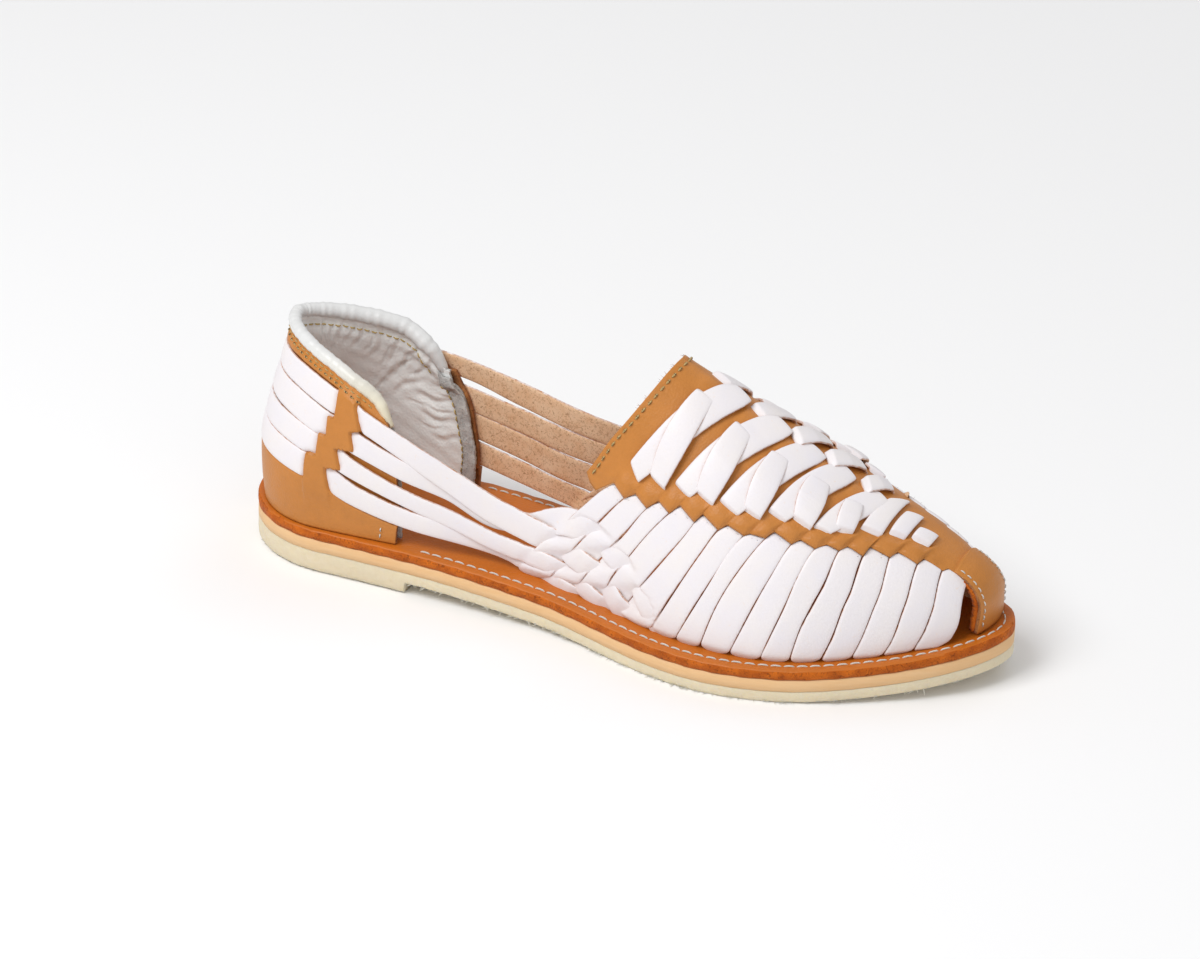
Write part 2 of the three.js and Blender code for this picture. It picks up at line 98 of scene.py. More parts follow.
soleWidths = {
    "at": [0, 33, 105, 172, 220, 250],
    "outer": [27, 27, 30, 46.4, 38, 33],
    "inner": [27, 27, 24.5, 43.4, 35, 30],
}
lastSections = {
    "at": [0, 30, 60, 80, 100, 125, 143, 160, 185, 205, 225, 241, 244.5],
    "ridge": [78, 86, 96, 97, 96, 86, 76, 66.5, 53, 41, 29.5, 16, 9],
    "full": [2.3, 2.3, 2.6, 2.5, 2.35, 1.95, 1.75, 1.8, 1.88, 2.05, 2.2, 2.3, 2.3],
    "inset": [1.2, 1.2, 3, 5.8, 7.8, 7.8, 7, 6.6, 5.2, 4.6, 4.8, 5, 5],
}
outerWidth = through(soleWidths["at"], soleWidths["outer"])
innerWidth = through(soleWidths["at"], soleWidths["inner"])
ridge = through(lastSections["at"], lastSections["ridge"])
full = through(lastSections["at"], lastSections["full"])
inset = through(lastSections["at"], lastSections["inset"])
heelBack = through([10, 23, 34, 49, 67, 90], [2.6, 1.1, 0.7, 3.2, 7.7, 11])
planDepth = through([10, 25, 75, 90], [27, 28, 46, 48])
collarHeight = through([0, 0.5, 0.85, 1.07, 1.25, 1.42, 1.6], [75.5, 73.4, 71, 68.9, 66.2, 62.2, 56.8])
counterFront = {
    -1: through([0, 0.3, 0.65, 1], [1.74, 1.79, 1.75, 1.58]),
    1: through([0, 0.3, 0.65, 1], [1.94, 1.98, 1.9, 1.66]),
}
panelGirth = through([112, 145, 176, 204, 231, 240], [53, 46, 38, 24, 10.5, 8.5])
lastEnd, backDepth, turnLength = 244.5, 25, 40


def width(x, side):
    return np.where(np.asarray(side) < 0, outerWidth(x), innerWidth(x))


def centreLine(x):
    return sole["toeSway"] * smooth((x / sole["length"] - sole["swayFrom"]) / (1 - sole["swayFrom"]))


def soleHalf(x, side):
    toe = roundEnd(sole["length"] - x, sole["toeRound"], sole["toePower"])
    return width(x, side) * roundEnd(x, sole["heelRound"]) * toe


def lift(x):
    along = x / sole["length"]
    seat = sole["seatRise"] * (1 - smooth((along - 0.25) / 0.35))
    spring = np.maximum(0, (along - sole["springFrom"]) / (1 - sole["springFrom"]))
    return seat + sole["toeSpring"] * spring ** 2


def insoleTop(x):
    return lift(x) + stack


def upperFoot(x):
    return insoleTop(x) + sole["gap"]


def heelForm(height, turn):  # places on the heel and sides, as a height and a turn
    height, turn = np.broadcast_arrays(np.asarray(height, float), np.asarray(turn, float))
    around = np.abs(turn)
    along = backDepth * (1 - np.cos(np.minimum(1, around) * math.pi / 2))
    along = along + np.maximum(0, around - 1) * turnLength
    x = heelBack(height) + along
    up = np.clip((height - upperFoot(x)) / ridge(x), 0, 0.999)
    belly = 1 + 0.06 * np.sin(math.pi * np.minimum(1, up * 1.6)) * (1 - smooth((x - 50) / 40))
    half = (width(x, turn) - inset(x)) * (1 - up ** full(x)) ** (1 / full(x))
    y = centreLine(x) + np.sign(turn) * half * belly * roundEnd(along, planDepth(height))
    return np.stack([x, y, height], -1)


def archPoint(x, angle):  # the vamp's arch at a station, its angle 0 at the outer side
    c, s = np.cos(angle), np.maximum(0, np.sin(angle))
    power = 2 / full(x)
    half = (width(x, -c) - inset(x)) * roundEnd(lastEnd - x, sole["toeRound"], sole["toePower"])
    y = centreLine(x) - half * np.sign(c) * np.abs(c) ** power
    return np.stack([x + 0 * c, y, upperFoot(x) + ridge(x) * s ** power], -1)


archAngles = np.linspace(0, math.pi, 161)
archStations = np.arange(88, lastEnd, 0.5)
archTable = archPoint(archStations[:, None], archAngles[None, :])
archSteps = np.linalg.norm(np.diff(archTable, axis=1), axis=2)
archGirths = np.concatenate([np.zeros((len(archStations), 1)), np.cumsum(archSteps, axis=1)], axis=1)
archGirths -= archGirths[:, 80:81]


def girthsAt(x):
    i = np.clip((x - archStations[0]) / 0.5, 0, len(archStations) - 1.001)
    low = i.astype(int)
    share = (i - low)[..., None]
    return archGirths[low] * (1 - share) + archGirths[low + 1] * share


def vampForm(x, girth):  # places on the vamp, as a station and a girth from its top line
    x, girth = np.broadcast_arrays(np.asarray(x, float), np.asarray(girth, float))
    rows = girthsAt(x)
    inside = np.clip(girth, rows[..., 0], rows[..., -1])
    k = np.clip((rows < inside[..., None]).sum(-1) - 1, 0, 159)
    a = np.take_along_axis(rows, k[..., None], -1)[..., 0]
    b = np.take_along_axis(rows, k[..., None] + 1, -1)[..., 0]
    point = archPoint(x, (k + (inside - a) / np.maximum(b - a, 1e-6)) * math.pi / 160)
    point[..., 2] -= np.abs(girth - inside)  # past its foot the form goes straight down
    return point


def outward(form, p, q):
    e = 0.05
    a = form(p + e, q) - form(p - e, q)
    b = form(p, q + e) - form(p, q - e)
    n = np.cross(a, b)
    return n / np.maximum(np.linalg.norm(n, axis=-1, keepdims=True), 1e-9)


def proud(form, p, q, rise):  # a place on a form, moved out along its normal
    return form(p, q) + outward(form, p, q) * np.asarray(rise)[..., None]


def footGirth(x, side):
    return girthsAt(np.asarray(x, float))[..., 0 if side < 0 else -1]


# Meshes are grids that are wrapped, welded and laid on those forms
outline = np.linspace(0.08, sole["length"], 400)
soleEdgeLow = (centreLine(outline) - soleHalf(outline, -1)).min()
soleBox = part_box("outsole")
shift = np.array([soleBox[0].x * 1000 - outline[0], soleBox[0].y * 1000 - soleEdgeLow, 0])


def toFrame(points):
    return (np.asarray(points) + shift) / 1000


def addGrid(bm, points, uv, wrap=False, close=False):
    # points[i][j] is a grid of places; wrap joins its last column to its first
    rows, columns = points.shape[:2]
    part = bmesh.new()
    layer = part.loops.layers.uv.new("UVMap")
    bmesh.ops.create_grid(part, x_segments=rows - 1, y_segments=columns - 1, size=0.5)
    placed = toFrame(points)
    where = {}
    for v in part.verts:
        i, j = round((v.co.x + 0.5) * (rows - 1)), round((v.co.y + 0.5) * (columns - 1))
        where[v] = (i, j)
    for face in part.faces:
        face.smooth = True
        for loop in face.loops:
            loop[layer].uv = uv[where[loop.vert]]
    for v, (i, j) in where.items():
        v.co = placed[i, j]
    if wrap:
        bmesh.ops.remove_doubles(part, verts=part.verts, dist=2e-6)
    if close:
        edges = [e for e in part.edges if e.is_boundary]
        bmesh.ops.holes_fill(part, edges=edges, sides=0)
    if wrap:
        bmesh.ops.recalc_face_normals(part, faces=part.faces)
    temp = bpy.data.meshes.new("part")
    part.to_mesh(temp)
    part.free()
    bm.from_mesh(temp)
    bpy.data.meshes.remove(temp)


def newMesh():
    bm = bmesh.new()
    bm.loops.layers.uv.new("UVMap")
    return bm


def addObject(name, data):
    made = bpy.data.objects.new(name, data)
    bpy.context.scene.collection.objects.link(made)
    return made


def piece(name, bm, materials, subdivide=0, replaces=()):
    mesh = bpy.data.meshes.new(name)
    bm.to_mesh(mesh)
    bm.free()
    for material in materials:
        mesh.materials.append(material)
    made = addObject(name, mesh)
    if subdivide:
        finer = made.modifiers.new("Subdivision", "SUBSURF")
        finer.levels = finer.render_levels = subdivide
    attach(made, "root")
    if replaces:
        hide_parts(*replaces)
    return made


# A strap's section: shares of its half width, and of its half thickness
topRow = [(-1, 0), (-0.97, 0.85), (-0.6, 1), (0, 1.04), (0.6, 1), (0.97, 0.85), (1, 0)]
strapSection = topRow + [(0.97, -0.85), (0.5, -1), (0, -1), (-0.5, -1), (-0.97, -0.85), (-1, 0)]
sectionAcross, sectionOver = np.array(strapSection, float).T


def runAlong(points):  # the length run so far at each point of a line
    return np.concatenate([[0], np.cumsum(np.linalg.norm(np.diff(points, axis=0), axis=1))])


def endShare(length, ends, least, reach):  # 1 along a strap, and less where an end rounds off
    share = np.ones_like(length)
    for end, distance in zip(ends, (length, length[-1] - length)):
        if end:
            share = share * (least + (1 - least) * roundEnd(distance, end * reach))
    return share


def ribbon(bm, form, left, right, rise, thick, steps, ends=(0, 0), tilt=0, crown=0):
    # A strap between two edge lines on a form. rise(u, p, q) is its height over the form,
    # ends are the lengths over which its corners round off, tilt leans it sideways.
    u = np.linspace(0, 1, steps + 1)
    a, b = left(u), right(u)
    middle, half = (a + b) / 2, (b - a) / 2
    length = runAlong(middle)
    share = endShare(length, ends, 0.35, 1)
    across = sectionAcross[None, :]
    place = middle[:, None, :] + half[:, None, :] * (across[..., None] * share[:, None, None])
    up = rise(u[:, None], place[..., 0], place[..., 1]) + tilt * across + crown * (1 - across ** 2)
    up = up + sectionOver[None, :] * (thick / 2) * endShare(length, ends, 0.45, 0.6)[:, None]
    points = proud(form, place[..., 0], place[..., 1], up)
    around = np.linspace(0, 1, len(strapSection))
    uv = np.stack(np.broadcast_arrays(length[:, None] / 10, around[None, :]), -1)
    addGrid(bm, points, uv, wrap=True, close=True)


def tube(bm, points, radius, sides=6):  # a thread or roll along a line
    p = np.array(points, float)
    r = np.broadcast_to(np.asarray(radius, float), (len(p),))
    ahead = np.gradient(p, axis=0)
    ahead /= np.maximum(np.linalg.norm(ahead, axis=1, keepdims=True), 1e-9)
    flat = np.where(np.abs(ahead[:, 2:3]) > 0.9, [[1.0, 0, 0]], [[0, 0, 1.0]])
    side = np.cross(flat, ahead)
    side /= np.linalg.norm(side, axis=1, keepdims=True)
    top = np.cross(ahead, side)
    turn = np.linspace(0, 2 * math.pi, sides + 1)
    ring = side[:, None] * np.cos(turn)[None, :, None] + top[:, None] * np.sin(turn)[None, :, None]
    uv = np.stack(np.broadcast_arrays(runAlong(p)[:, None] / 10, (turn / (2 * math.pi))[None, :]), -1)
    addGrid(bm, p[:, None] + ring * r[:, None, None], uv, wrap=True, close=True)


def stitchRow(bm, line, length, gap, radius):
    # line(u) gives places and normals; each stitch is a short thread that dips at its ends
    u = np.linspace(0, 1, 2400)
    places, _ = line(u)
    run = runAlong(places)
    for k in range(max(1, int(run[-1] / (length + gap)))):
        start = k * (length + gap) + gap / 2 + random.uniform(-0.12, 0.12)
        at = np.interp(start + np.linspace(0, length, 5), run, u)
        place, normal = line(at)
        bow = np.array([-1.1, 0.55, 0.8, 0.55, -1.1])[:, None] * radius
        tube(bm, place + normal * bow, radius * np.array([0.6, 1, 1, 1, 0.6]), sides=5)


def addShred(bm, place, lean, size, seat, segments, radii):  # a thin cone, its foot a little sunk
    spin = Vector(lean).to_track_quat("Z", "Y").to_matrix().to_4x4()
    turn = Matrix.Translation(Vector(toFrame(place))) @ spin @ Matrix.Translation((0, 0, size / seat))
    bmesh.ops.create_cone(bm, cap_ends=True, segments=segments, radius1=radii[0], radius2=radii[1],
                          depth=size / 1000, matrix=turn)


def nodeGroup(name, inputs, outputs):
    group = bpy.data.node_groups.new(name, "ShaderNodeTree")
    for socket, kind, value in inputs:
        made = group.interface.new_socket(name=socket, in_out="INPUT", socket_type=kind)
        if value is not None:
            made.default_value = value
    for socket, kind in outputs:
        group.interface.new_socket(name=socket, in_out="OUTPUT", socket_type=kind)
    start = group.nodes.new("NodeGroupInput")
    end = group.nodes.new("NodeGroupOutput")
    return group, start, end


def addNode(tree, kind, links=None, **values):
    node = tree.nodes.new(kind)
    for name, value in values.items():
        setattr(node, name, value)
    for socket, source in (links or {}).items():
        if isinstance(source, bpy.types.NodeSocket):
            tree.links.new(source, node.inputs[socket])
        else:
            node.inputs[socket].default_value = source
    return node


def mathNode(tree, operation, first, second, **values):
    return addNode(tree, "ShaderNodeMath", {0: first, 1: second}, operation=operation, **values).outputs[0]


def spanNode(tree, value, low, high):  # a value's share of the way from low to high
    links = {"Value": value, "From Min": low, "From Max": high}
    return addNode(tree, "ShaderNodeMapRange", links).outputs[0]


floatSocket, vectorSocket = "NodeSocketFloat", "NodeSocketVector"


def makeGrain():  # pores and fine wrinkles of leather, as a height
    group, start, end = nodeGroup(
        "leatherGrain",
        [("Vector", vectorSocket, None), ("Scale", floatSocket, 900.0), ("Creases", floatSocket, 0.4)],
        [("Height", floatSocket)])
    vector, scale = start.outputs["Vector"], start.outputs["Scale"]
    cells = addNode(group, "ShaderNodeTexVoronoi", {"Vector": vector, "Scale": scale})
    half = mathNode(group, "MULTIPLY", scale, 0.22)
    folds = addNode(group, "ShaderNodeTexNoise", {
        "Vector": vector, "Scale": half, "Detail": 5.0, "Distortion": 0.6})
    folded = mathNode(group, "MULTIPLY", folds.outputs[0], start.outputs["Creases"])
    total = mathNode(group, "ADD", cells.outputs["Distance"], folded)
    group.links.new(total, end.inputs["Height"])
    return group


def makeMottle():  # cloudy unevenness of a dyed hide, as a mask
    group, start, end = nodeGroup(
        "hideMottle",
        [("Vector", vectorSocket, None), ("Scale", floatSocket, 60.0), ("Contrast", floatSocket, 1.0)],
        [("Mask", floatSocket)])
    cloud = addNode(group, "ShaderNodeTexNoise", {
        "Vector": start.outputs["Vector"], "Scale": start.outputs["Scale"], "Detail": 6.0, "Roughness": 0.62})
    middle = mathNode(group, "SUBTRACT", cloud.outputs[0], 0.5)
    pulled = mathNode(group, "MULTIPLY", middle, start.outputs["Contrast"])
    back = mathNode(group, "ADD", pulled, 0.5, use_clamp=True)
    group.links.new(back, end.inputs["Mask"])
    return group


def makeSpeckle():  # stray dark fibres and pores of the flesh side, as a mask
    group, start, end = nodeGroup(
        "fleshSpeckle",
        [("Vector", vectorSocket, None), ("Scale", floatSocket, 500.0), ("Amount", floatSocket, 0.62)],
        [("Mask", floatSocket)])
    flecks = addNode(group, "ShaderNodeTexNoise", {
        "Vector": start.outputs["Vector"], "Scale": start.outputs["Scale"], "Detail": 3.0, "Distortion": 1.2})
    group.links.new(spanNode(group, flecks.outputs[0], start.outputs["Amount"], 0.75), end.inputs["Mask"])
    return group


grainGroup, mottleGroup, speckleGroup = makeGrain(), makeMottle(), makeSpeckle()


def useGroup(tree, group, place, scale, **values):
    links = {"Vector": place, "Scale": scale, **values}
    return addNode(tree, "ShaderNodeGroup", links, node_tree=group).outputs[0]


def mottle(tree, place, scale, contrast):
    return useGroup(tree, mottleGroup, place, scale, Contrast=contrast)


def speckle(tree, place, scale, amount):
    return useGroup(tree, speckleGroup, place, scale, Amount=amount)


def shaded(color, amount):
    return tuple(c * amount for c in color)


def mixColor(tree, factor, first, second):
    colors = [(*color, 1) if isinstance(color, tuple) else color for color in (first, second)]
    links = {0: factor, 6: colors[0], 7: colors[1]}
    return addNode(tree, "ShaderNodeMix", links, data_type="RGBA").outputs[2]


def newMaterial(name, roughness, coat=0.0, sheen=0.0, subsurface=0.0):
    material = bpy.data.materials.new(name)
    material.use_nodes = True
    tree = material.node_tree
    shader = tree.nodes["Principled BSDF"]
    shader.inputs["Roughness"].default_value = roughness
    shader.inputs["Coat Weight"].default_value = coat
    shader.inputs["Coat Roughness"].default_value = 0.35
    shader.inputs["Sheen Weight"].default_value = sheen
    if subsurface:
        shader.inputs["Subsurface Weight"].default_value = subsurface
        shader.inputs["Subsurface Radius"].default_value = (0.6, 0.5, 0.3)
        shader.inputs["Subsurface Scale"].default_value = 0.004
    place = addNode(tree, "ShaderNodeTexCoord").outputs["Object"]
    return material, tree, shader, place


def bump(tree, shader, height, strength, distance):
    node = addNode(tree, "ShaderNodeBump", {"Height": height, "Strength": strength, "Distance": distance})
    tree.links.new(node.outputs[0], shader.inputs["Normal"])


def grainBump(tree, shader, place, scale, creases, strength, distance):
    bump(tree, shader, useGroup(tree, grainGroup, place, scale, Creases=creases), strength, distance)


def roughen(tree, shader, mask, low, high):
    span = addNode(tree, "ShaderNodeMapRange", {"Value": mask, "To Min": low, "To Max": high})
    tree.links.new(span.outputs[0], shader.inputs["Roughness"])


leatherLook = {
    "tan": (0.535, 0.205, 0.040),
    "whiteWarm": (0.84, 0.79, 0.77), "whiteCool": (0.79, 0.76, 0.81),
    "flesh": (0.74, 0.45, 0.25), "fleshPale": (0.85, 0.62, 0.42), "fleck": (0.38, 0.19, 0.09),
    "rawEdge": (0.50, 0.22, 0.09), "grey": (0.80, 0.81, 0.80), "greyPale": (0.88, 0.885, 0.875),
    "cream": (0.78, 0.68, 0.42), "thread": (0.90, 0.87, 0.80), "goldThread": (0.70, 0.50, 0.20),
}


def tanLeather(name, grainScale=1500.0, tint=leatherLook["tan"]):
    material, tree, shader, place = newMaterial(name, 0.45, coat=0.05)
    shader.inputs["Specular IOR Level"].default_value = 0.32
    cloud = mottle(tree, place, 55.0, 2.0)
    fine = mottle(tree, place, 420.0, 1.6)
    color = mixColor(tree, cloud, shaded(tint, 0.84), tint)
    speck = mathNode(tree, "MULTIPLY", fine, 0.35)
    color = mixColor(tree, speck, color, shaded(tint, 1.3))
    tree.links.new(color, shader.inputs["Base Color"])
    roughen(tree, shader, fine, 0.36, 0.55)
    grainBump(tree, shader, place, grainScale, 0.8, 0.35, 0.00025)
    return material


def rawLeather(name, light, dark, scale=260.0, rough=0.85):  # cut edges and rubbed fibres
    material, tree, shader, place = newMaterial(name, rough, sheen=0.05)
    shader.inputs["Specular IOR Level"].default_value = 0.25
    cloud = mottle(tree, place, scale, 2.6)
    flecks = speckle(tree, place, scale * 4, 0.52)
    color = mixColor(tree, cloud, dark, light)
    color = mixColor(tree, flecks, color, shaded(dark, 0.45))
    tree.links.new(color, shader.inputs["Base Color"])
    bump(tree, shader, cloud, 0.6, 0.0005)
    return material


def strapLeather(name):  # white face, raw brown cut edges, flesh side underneath
    material, tree, shader, place = newMaterial(name, 0.5)
    uv = addNode(tree, "ShaderNodeUVMap", uv_map="UVMap").outputs[0]
    around = addNode(tree, "ShaderNodeSeparateXYZ", {0: uv}).outputs["Y"]
    under = spanNode(tree, around, 0.535, 0.56)
    fold = mathNode(tree, "PINGPONG", around, 0.5)
    lower = spanNode(tree, fold, 0.062, 0.048)
    upper = spanNode(tree, fold, 0.438, 0.452)
    edge = mathNode(tree, "MAXIMUM", lower, upper)
    ragged = mottle(tree, place, 500.0, 3.0)
    edge = mathNode(tree, "MULTIPLY", edge, ragged)
    cloud = mottle(tree, place, 90.0, 1.6)
    white = mixColor(tree, cloud, leatherLook["whiteWarm"], leatherLook["whiteCool"])
    dust = speckle(tree, place, 700.0, 0.66)
    dust = mathNode(tree, "MULTIPLY", dust, 0.25)
    white = mixColor(tree, dust, white, leatherLook["fleshPale"])
    nap = mottle(tree, place, 160.0, 2.0)
    flesh = mixColor(tree, nap, leatherLook["flesh"], leatherLook["fleshPale"])
    flecks = speckle(tree, place, 1200.0, 0.5)
    flesh = mixColor(tree, flecks, flesh, leatherLook["fleck"])
    color = mixColor(tree, under, white, flesh)
    color = mixColor(tree, edge, color, leatherLook["rawEdge"])
    tree.links.new(color, shader.inputs["Base Color"])
    roughen(tree, shader, mathNode(tree, "MAXIMUM", under, edge), 0.46, 0.9)
    grainBump(tree, shader, place, 1300.0, 1.2, 0.22, 0.0002)
    return material


def liningLeather(name):
    material, tree, shader, place = newMaterial(name, 0.42)
    cloud = mottle(tree, place, 70.0, 1.8)
    color = mixColor(tree, cloud, leatherLook["grey"], leatherLook["greyPale"])
    tree.links.new(color, shader.inputs["Base Color"])
    grainBump(tree, shader, place, 1100.0, 1.6, 0.3, 0.0003)
    return material


def rollLeather(name):  # the collar: pale grey, turning cream lower down on its near side
    material, tree, shader, place = newMaterial(name, 0.36, coat=0.15)
    cloud = mottle(tree, place, 45.0, 2.0)
    color = mixColor(tree, cloud, (0.62, 0.62, 0.615), (0.76, 0.76, 0.755))
    parts = addNode(tree, "ShaderNodeSeparateXYZ", {0: place}).outputs
    near = spanNode(tree, parts["Y"], -0.006, -0.026)
    low = spanNode(tree, parts["Z"], 0.074, 0.060)
    # cream mixed in on the near side, more the lower it lies
    nearLowCream = mathNode(tree, "MULTIPLY", near, low)
    nearLowCream = mathNode(tree, "MULTIPLY", nearLowCream, 0.75)
    color = mixColor(tree, nearLowCream, color, leatherLook["cream"])
    tree.links.new(color, shader.inputs["Base Color"])
    grainBump(tree, shader, place, 1400.0, 1.0, 0.25, 0.0002)
    return material


def crepeRubber(name):
    material, tree, shader, place = newMaterial(name, 0.5, subsurface=0.45)
    wide = mottle(tree, place, 35.0, 2.2)
    fine = mottle(tree, place, 600.0, 2.4)
    color = mixColor(tree, wide, (0.68, 0.585, 0.41), (0.75, 0.64, 0.44))
    speck = mathNode(tree, "MULTIPLY", fine, 0.4)
    color = mixColor(tree, speck, color, (0.80, 0.73, 0.57))
    tree.links.new(color, shader.inputs["Base Color"])
    roughen(tree, shader, fine, 0.4, 0.65)
    bump(tree, shader, fine, 0.5, 0.0004)
    return material


def midsoleLeather(name):
    material, tree, shader, place = newMaterial(name, 0.62)
    wide = mottle(tree, place, 40.0, 2.0)
    stretch = addNode(tree, "ShaderNodeMapping", {"Vector": place, "Scale": (90.0, 90.0, 900.0)}).outputs[0]
    layers = addNode(tree, "ShaderNodeTexNoise", {"Vector": stretch, "Scale": 1.0, "Detail": 4.0}).outputs[0]
    color = mixColor(tree, wide, (0.71, 0.39, 0.155), (0.76, 0.48, 0.23))
    color = mixColor(tree, layers, color, (0.79, 0.53, 0.29))
    tree.links.new(color, shader.inputs["Base Color"])
    bump(tree, shader, layers, 0.35, 0.0003)
    return material


def plainThread(name, color):
    material, tree, shader, place = newMaterial(name, 0.6)
    stretch = addNode(tree, "ShaderNodeUVMap", uv_map="UVMap").outputs[0]
    twist = addNode(tree, "ShaderNodeTexWave", {"Vector": stretch, "Scale": 12.0, "Distortion": 0.5},
                    bands_direction="DIAGONAL").outputs["Fac"]
    shade = mixColor(tree, twist, shaded(color, 0.72), color)
    tree.links.new(shade, shader.inputs["Base Color"])
    bump(tree, shader, twist, 0.5, 0.0002)
    return material


tanMaterial = tanLeather("tanLeather")
insoleMaterial = tanLeather("insoleLeather", grainScale=1100.0, tint=(0.53, 0.140, 0.010))
rawTan = rawLeather("tanCutEdge", (0.50, 0.21, 0.07), (0.20, 0.07, 0.022))
rimEdge = rawLeather("insoleEdge", (0.61, 0.145, 0.008), (0.36, 0.07, 0.003))
fleshMaterial = rawLeather("fleshSide", leatherLook["fleshPale"], leatherLook["flesh"], scale=300.0)
suedeMaterial = rawLeather("greySuede", (0.60, 0.59, 0.57), (0.40, 0.39, 0.38), scale=400.0)
whiteMaterial = strapLeather("whiteStrap")
liningMaterial = liningLeather("greyLining")
rollMaterial = rollLeather("collarLeather")
crepeMaterial = crepeRubber("crepeRubber")
midsoleMaterial = midsoleLeather("midsoleLeather")
whiteThread = plainThread("whiteThread", leatherLook["thread"])
goldThread = plainThread("goldThread", leatherLook["goldThread"])
darkThread = plainThread("darkThread", (0.08, 0.05, 0.03))
print("finishes made")

# The sole: its crepe, midsole and insole
soleLook = {"burrs": 420, "burrLength": (0.8, 2.4), "rimStitch": 3.85, "rimGap": 0.2, "rimIn": 3.1}


def soleStations():
    ends = np.linspace(0.03, 1, 22) * math.pi / 2
    heel = sole["heelRound"] * (1 - np.cos(ends))
    toe = sole["length"] - sole["toeRound"] * (1 - np.cos(ends))
    middle = np.concatenate([np.arange(34, 60, 3), [60.2, 60.6, 61.2, 61.8], np.arange(64, 190, 3)])
    return np.unique(np.concatenate([heel, middle, toe]))


def soleLayer(name, bottom, profile, materials, replaces, uneven):
    # each profile row goes round the sole: how far in from the edge, the share of the
    # width that is left, and the height over the layer's bottom
    x = soleStations()
    ringX = np.concatenate([x, x[::-1], x[:1]])
    side = np.concatenate([-np.ones(len(x)), np.ones(len(x)), [-1]])
    half = soleHalf(ringX, side)
    rows = []
    for inward, share, height in profile:
        z = bottom(ringX) + height(ringX)
        wave = uneven * np.sin(ringX * 0.7 + side * 2 + z) if share == 1 else 0
        y = centreLine(ringX) + side * np.maximum(0, half - inward(ringX) + wave) * share
        rows.append(np.stack([ringX, y, z], -1))
    points = np.stack(rows, 0)
    uv = np.stack(np.broadcast_arrays(ringX[None, :] / 10, np.arange(len(rows))[:, None] / len(rows)), -1)
    bm = newMesh()
    addGrid(bm, points, uv, wrap=True, close=True)
    return piece(name, bm, materials, replaces=replaces)


def level(value):
    return lambda x: value + 0 * x


def crepeBottom(x):
    return np.where(x <= sole["breast"] - 0.3, 0, lift(x))


def crepeEdge(share):
    return lambda x: np.where(x <= sole["breast"], 2.6, 0.9) * share


def crepeHeight(share):
    return lambda x: (lift(x) + sole["crepe"] - crepeBottom(x)) * share


crepeProfile = [
    (level(0), 0, level(0)), (level(0), 0.5, level(0)), (crepeEdge(1), 1, level(0)),
    (crepeEdge(0.45), 1, crepeEdge(0.12)), (crepeEdge(0.12), 1, crepeEdge(0.45)),
    (level(0), 1, crepeEdge(1)), (level(0), 1, crepeHeight(0.95)), (level(0.25), 1, crepeHeight(1)),
    (level(0), 0.5, crepeHeight(1)), (level(0), 0, crepeHeight(1)),
]


def layerProfile(thick, roundness, bulge):
    return [
        (level(0), 0, level(0)), (level(0), 0.5, level(0)), (level(roundness), 1, level(0)),
        (level(-bulge * 0.3), 1, level(roundness * 0.6)), (level(-bulge), 1, level(thick * 0.5)),
        (level(-bulge * 0.3), 1, level(thick - roundness * 0.6)), (level(roundness * 0.8), 1, level(thick)),
        (level(2), 1, level(thick)), (level(0), 0.5, level(thick)), (level(0), 0, level(thick)),
    ]


def midsoleBottom(x):
    return lift(x) + sole["crepe"]


def insoleBottom(x):
    return midsoleBottom(x) + sole["gap"] + sole["midsole"]


soleLayer("crepe_sole", crepeBottom, crepeProfile, [crepeMaterial], ["outsole"], 0.12)
soleLayer("midsole_layer", midsoleBottom, layerProfile(sole["midsole"] + sole["gap"], 0.25, 0.1),
          [midsoleMaterial], ["midsole"], 0.1)
insole = soleLayer("insole_layer", insoleBottom, layerProfile(sole["insole"] + sole["gap"], 0.55, 0.25),
                   [insoleMaterial, rimEdge], ["insole"], 0.22)
for face in insole.data.polygons:  # the rim's cut edge is rougher and redder
    if abs(face.normal.z) < 0.8:
        face.material_index = 1


def soleOutline(turn):  # the sole's edge as a loop, from the heel round the outer side
    x = sole["length"] / 2 * (1 - np.cos(turn))
    side = np.where(turn < math.pi, -1, 1)
    return np.stack([x, centreLine(x) + side * soleHalf(x, side)], -1)


def rimLine(inward):
    def line(u):
        turn = 2 * math.pi * (0.17 + 0.66 * u)  # none behind, where the counter covers them
        ahead = soleOutline(turn + 0.004) - soleOutline(turn - 0.004)
        ahead /= np.linalg.norm(ahead, axis=1, keepdims=True)
        edge = soleOutline(turn) + inward * np.stack([-ahead[:, 1], ahead[:, 0]], -1)
        place = np.stack([edge[:, 0], edge[:, 1], insoleTop(edge[:, 0])], -1)
        normal = np.zeros_like(place)
        normal[..., 2] = 1
        return place, normal
    return line


bm = newMesh()
stitchRow(bm, rimLine(soleLook["rimIn"]), soleLook["rimStitch"], soleLook["rimGap"], 0.29)
piece("rim_stitches", bm, [whiteThread])


def makeBurrs():  # hair-like shreds of crepe along the cut bottom edge
    bm = newMesh()
    for _ in range(soleLook["burrs"]):
        x = random.uniform(2, sole["length"] - 1)
        side = random.choice([-1, -1, 1])
        y = centreLine(x) + side * (soleHalf(x, side) - crepeEdge(0.6)(x))
        z = float(crepeBottom(np.array(x))) + 0.25
        size = random.uniform(*soleLook["burrLength"]) * (0.55 if x < sole["breast"] else 1)
        lean = Vector((random.uniform(-0.8, 0.8), side * random.uniform(0.5, 1.2), random.uniform(-0.5, 0.3)))
        if z < 2:
            lean.z = abs(lean.z) * 0.5
        addShred(bm, [x, float(y), z], lean, size, 2200, 4, (0.0002, 0.00004))
    piece("crepe_burrs", bm, [plainThread("burrRubber", (0.86, 0.84, 0.74))])


makeBurrs()
print("sole made")

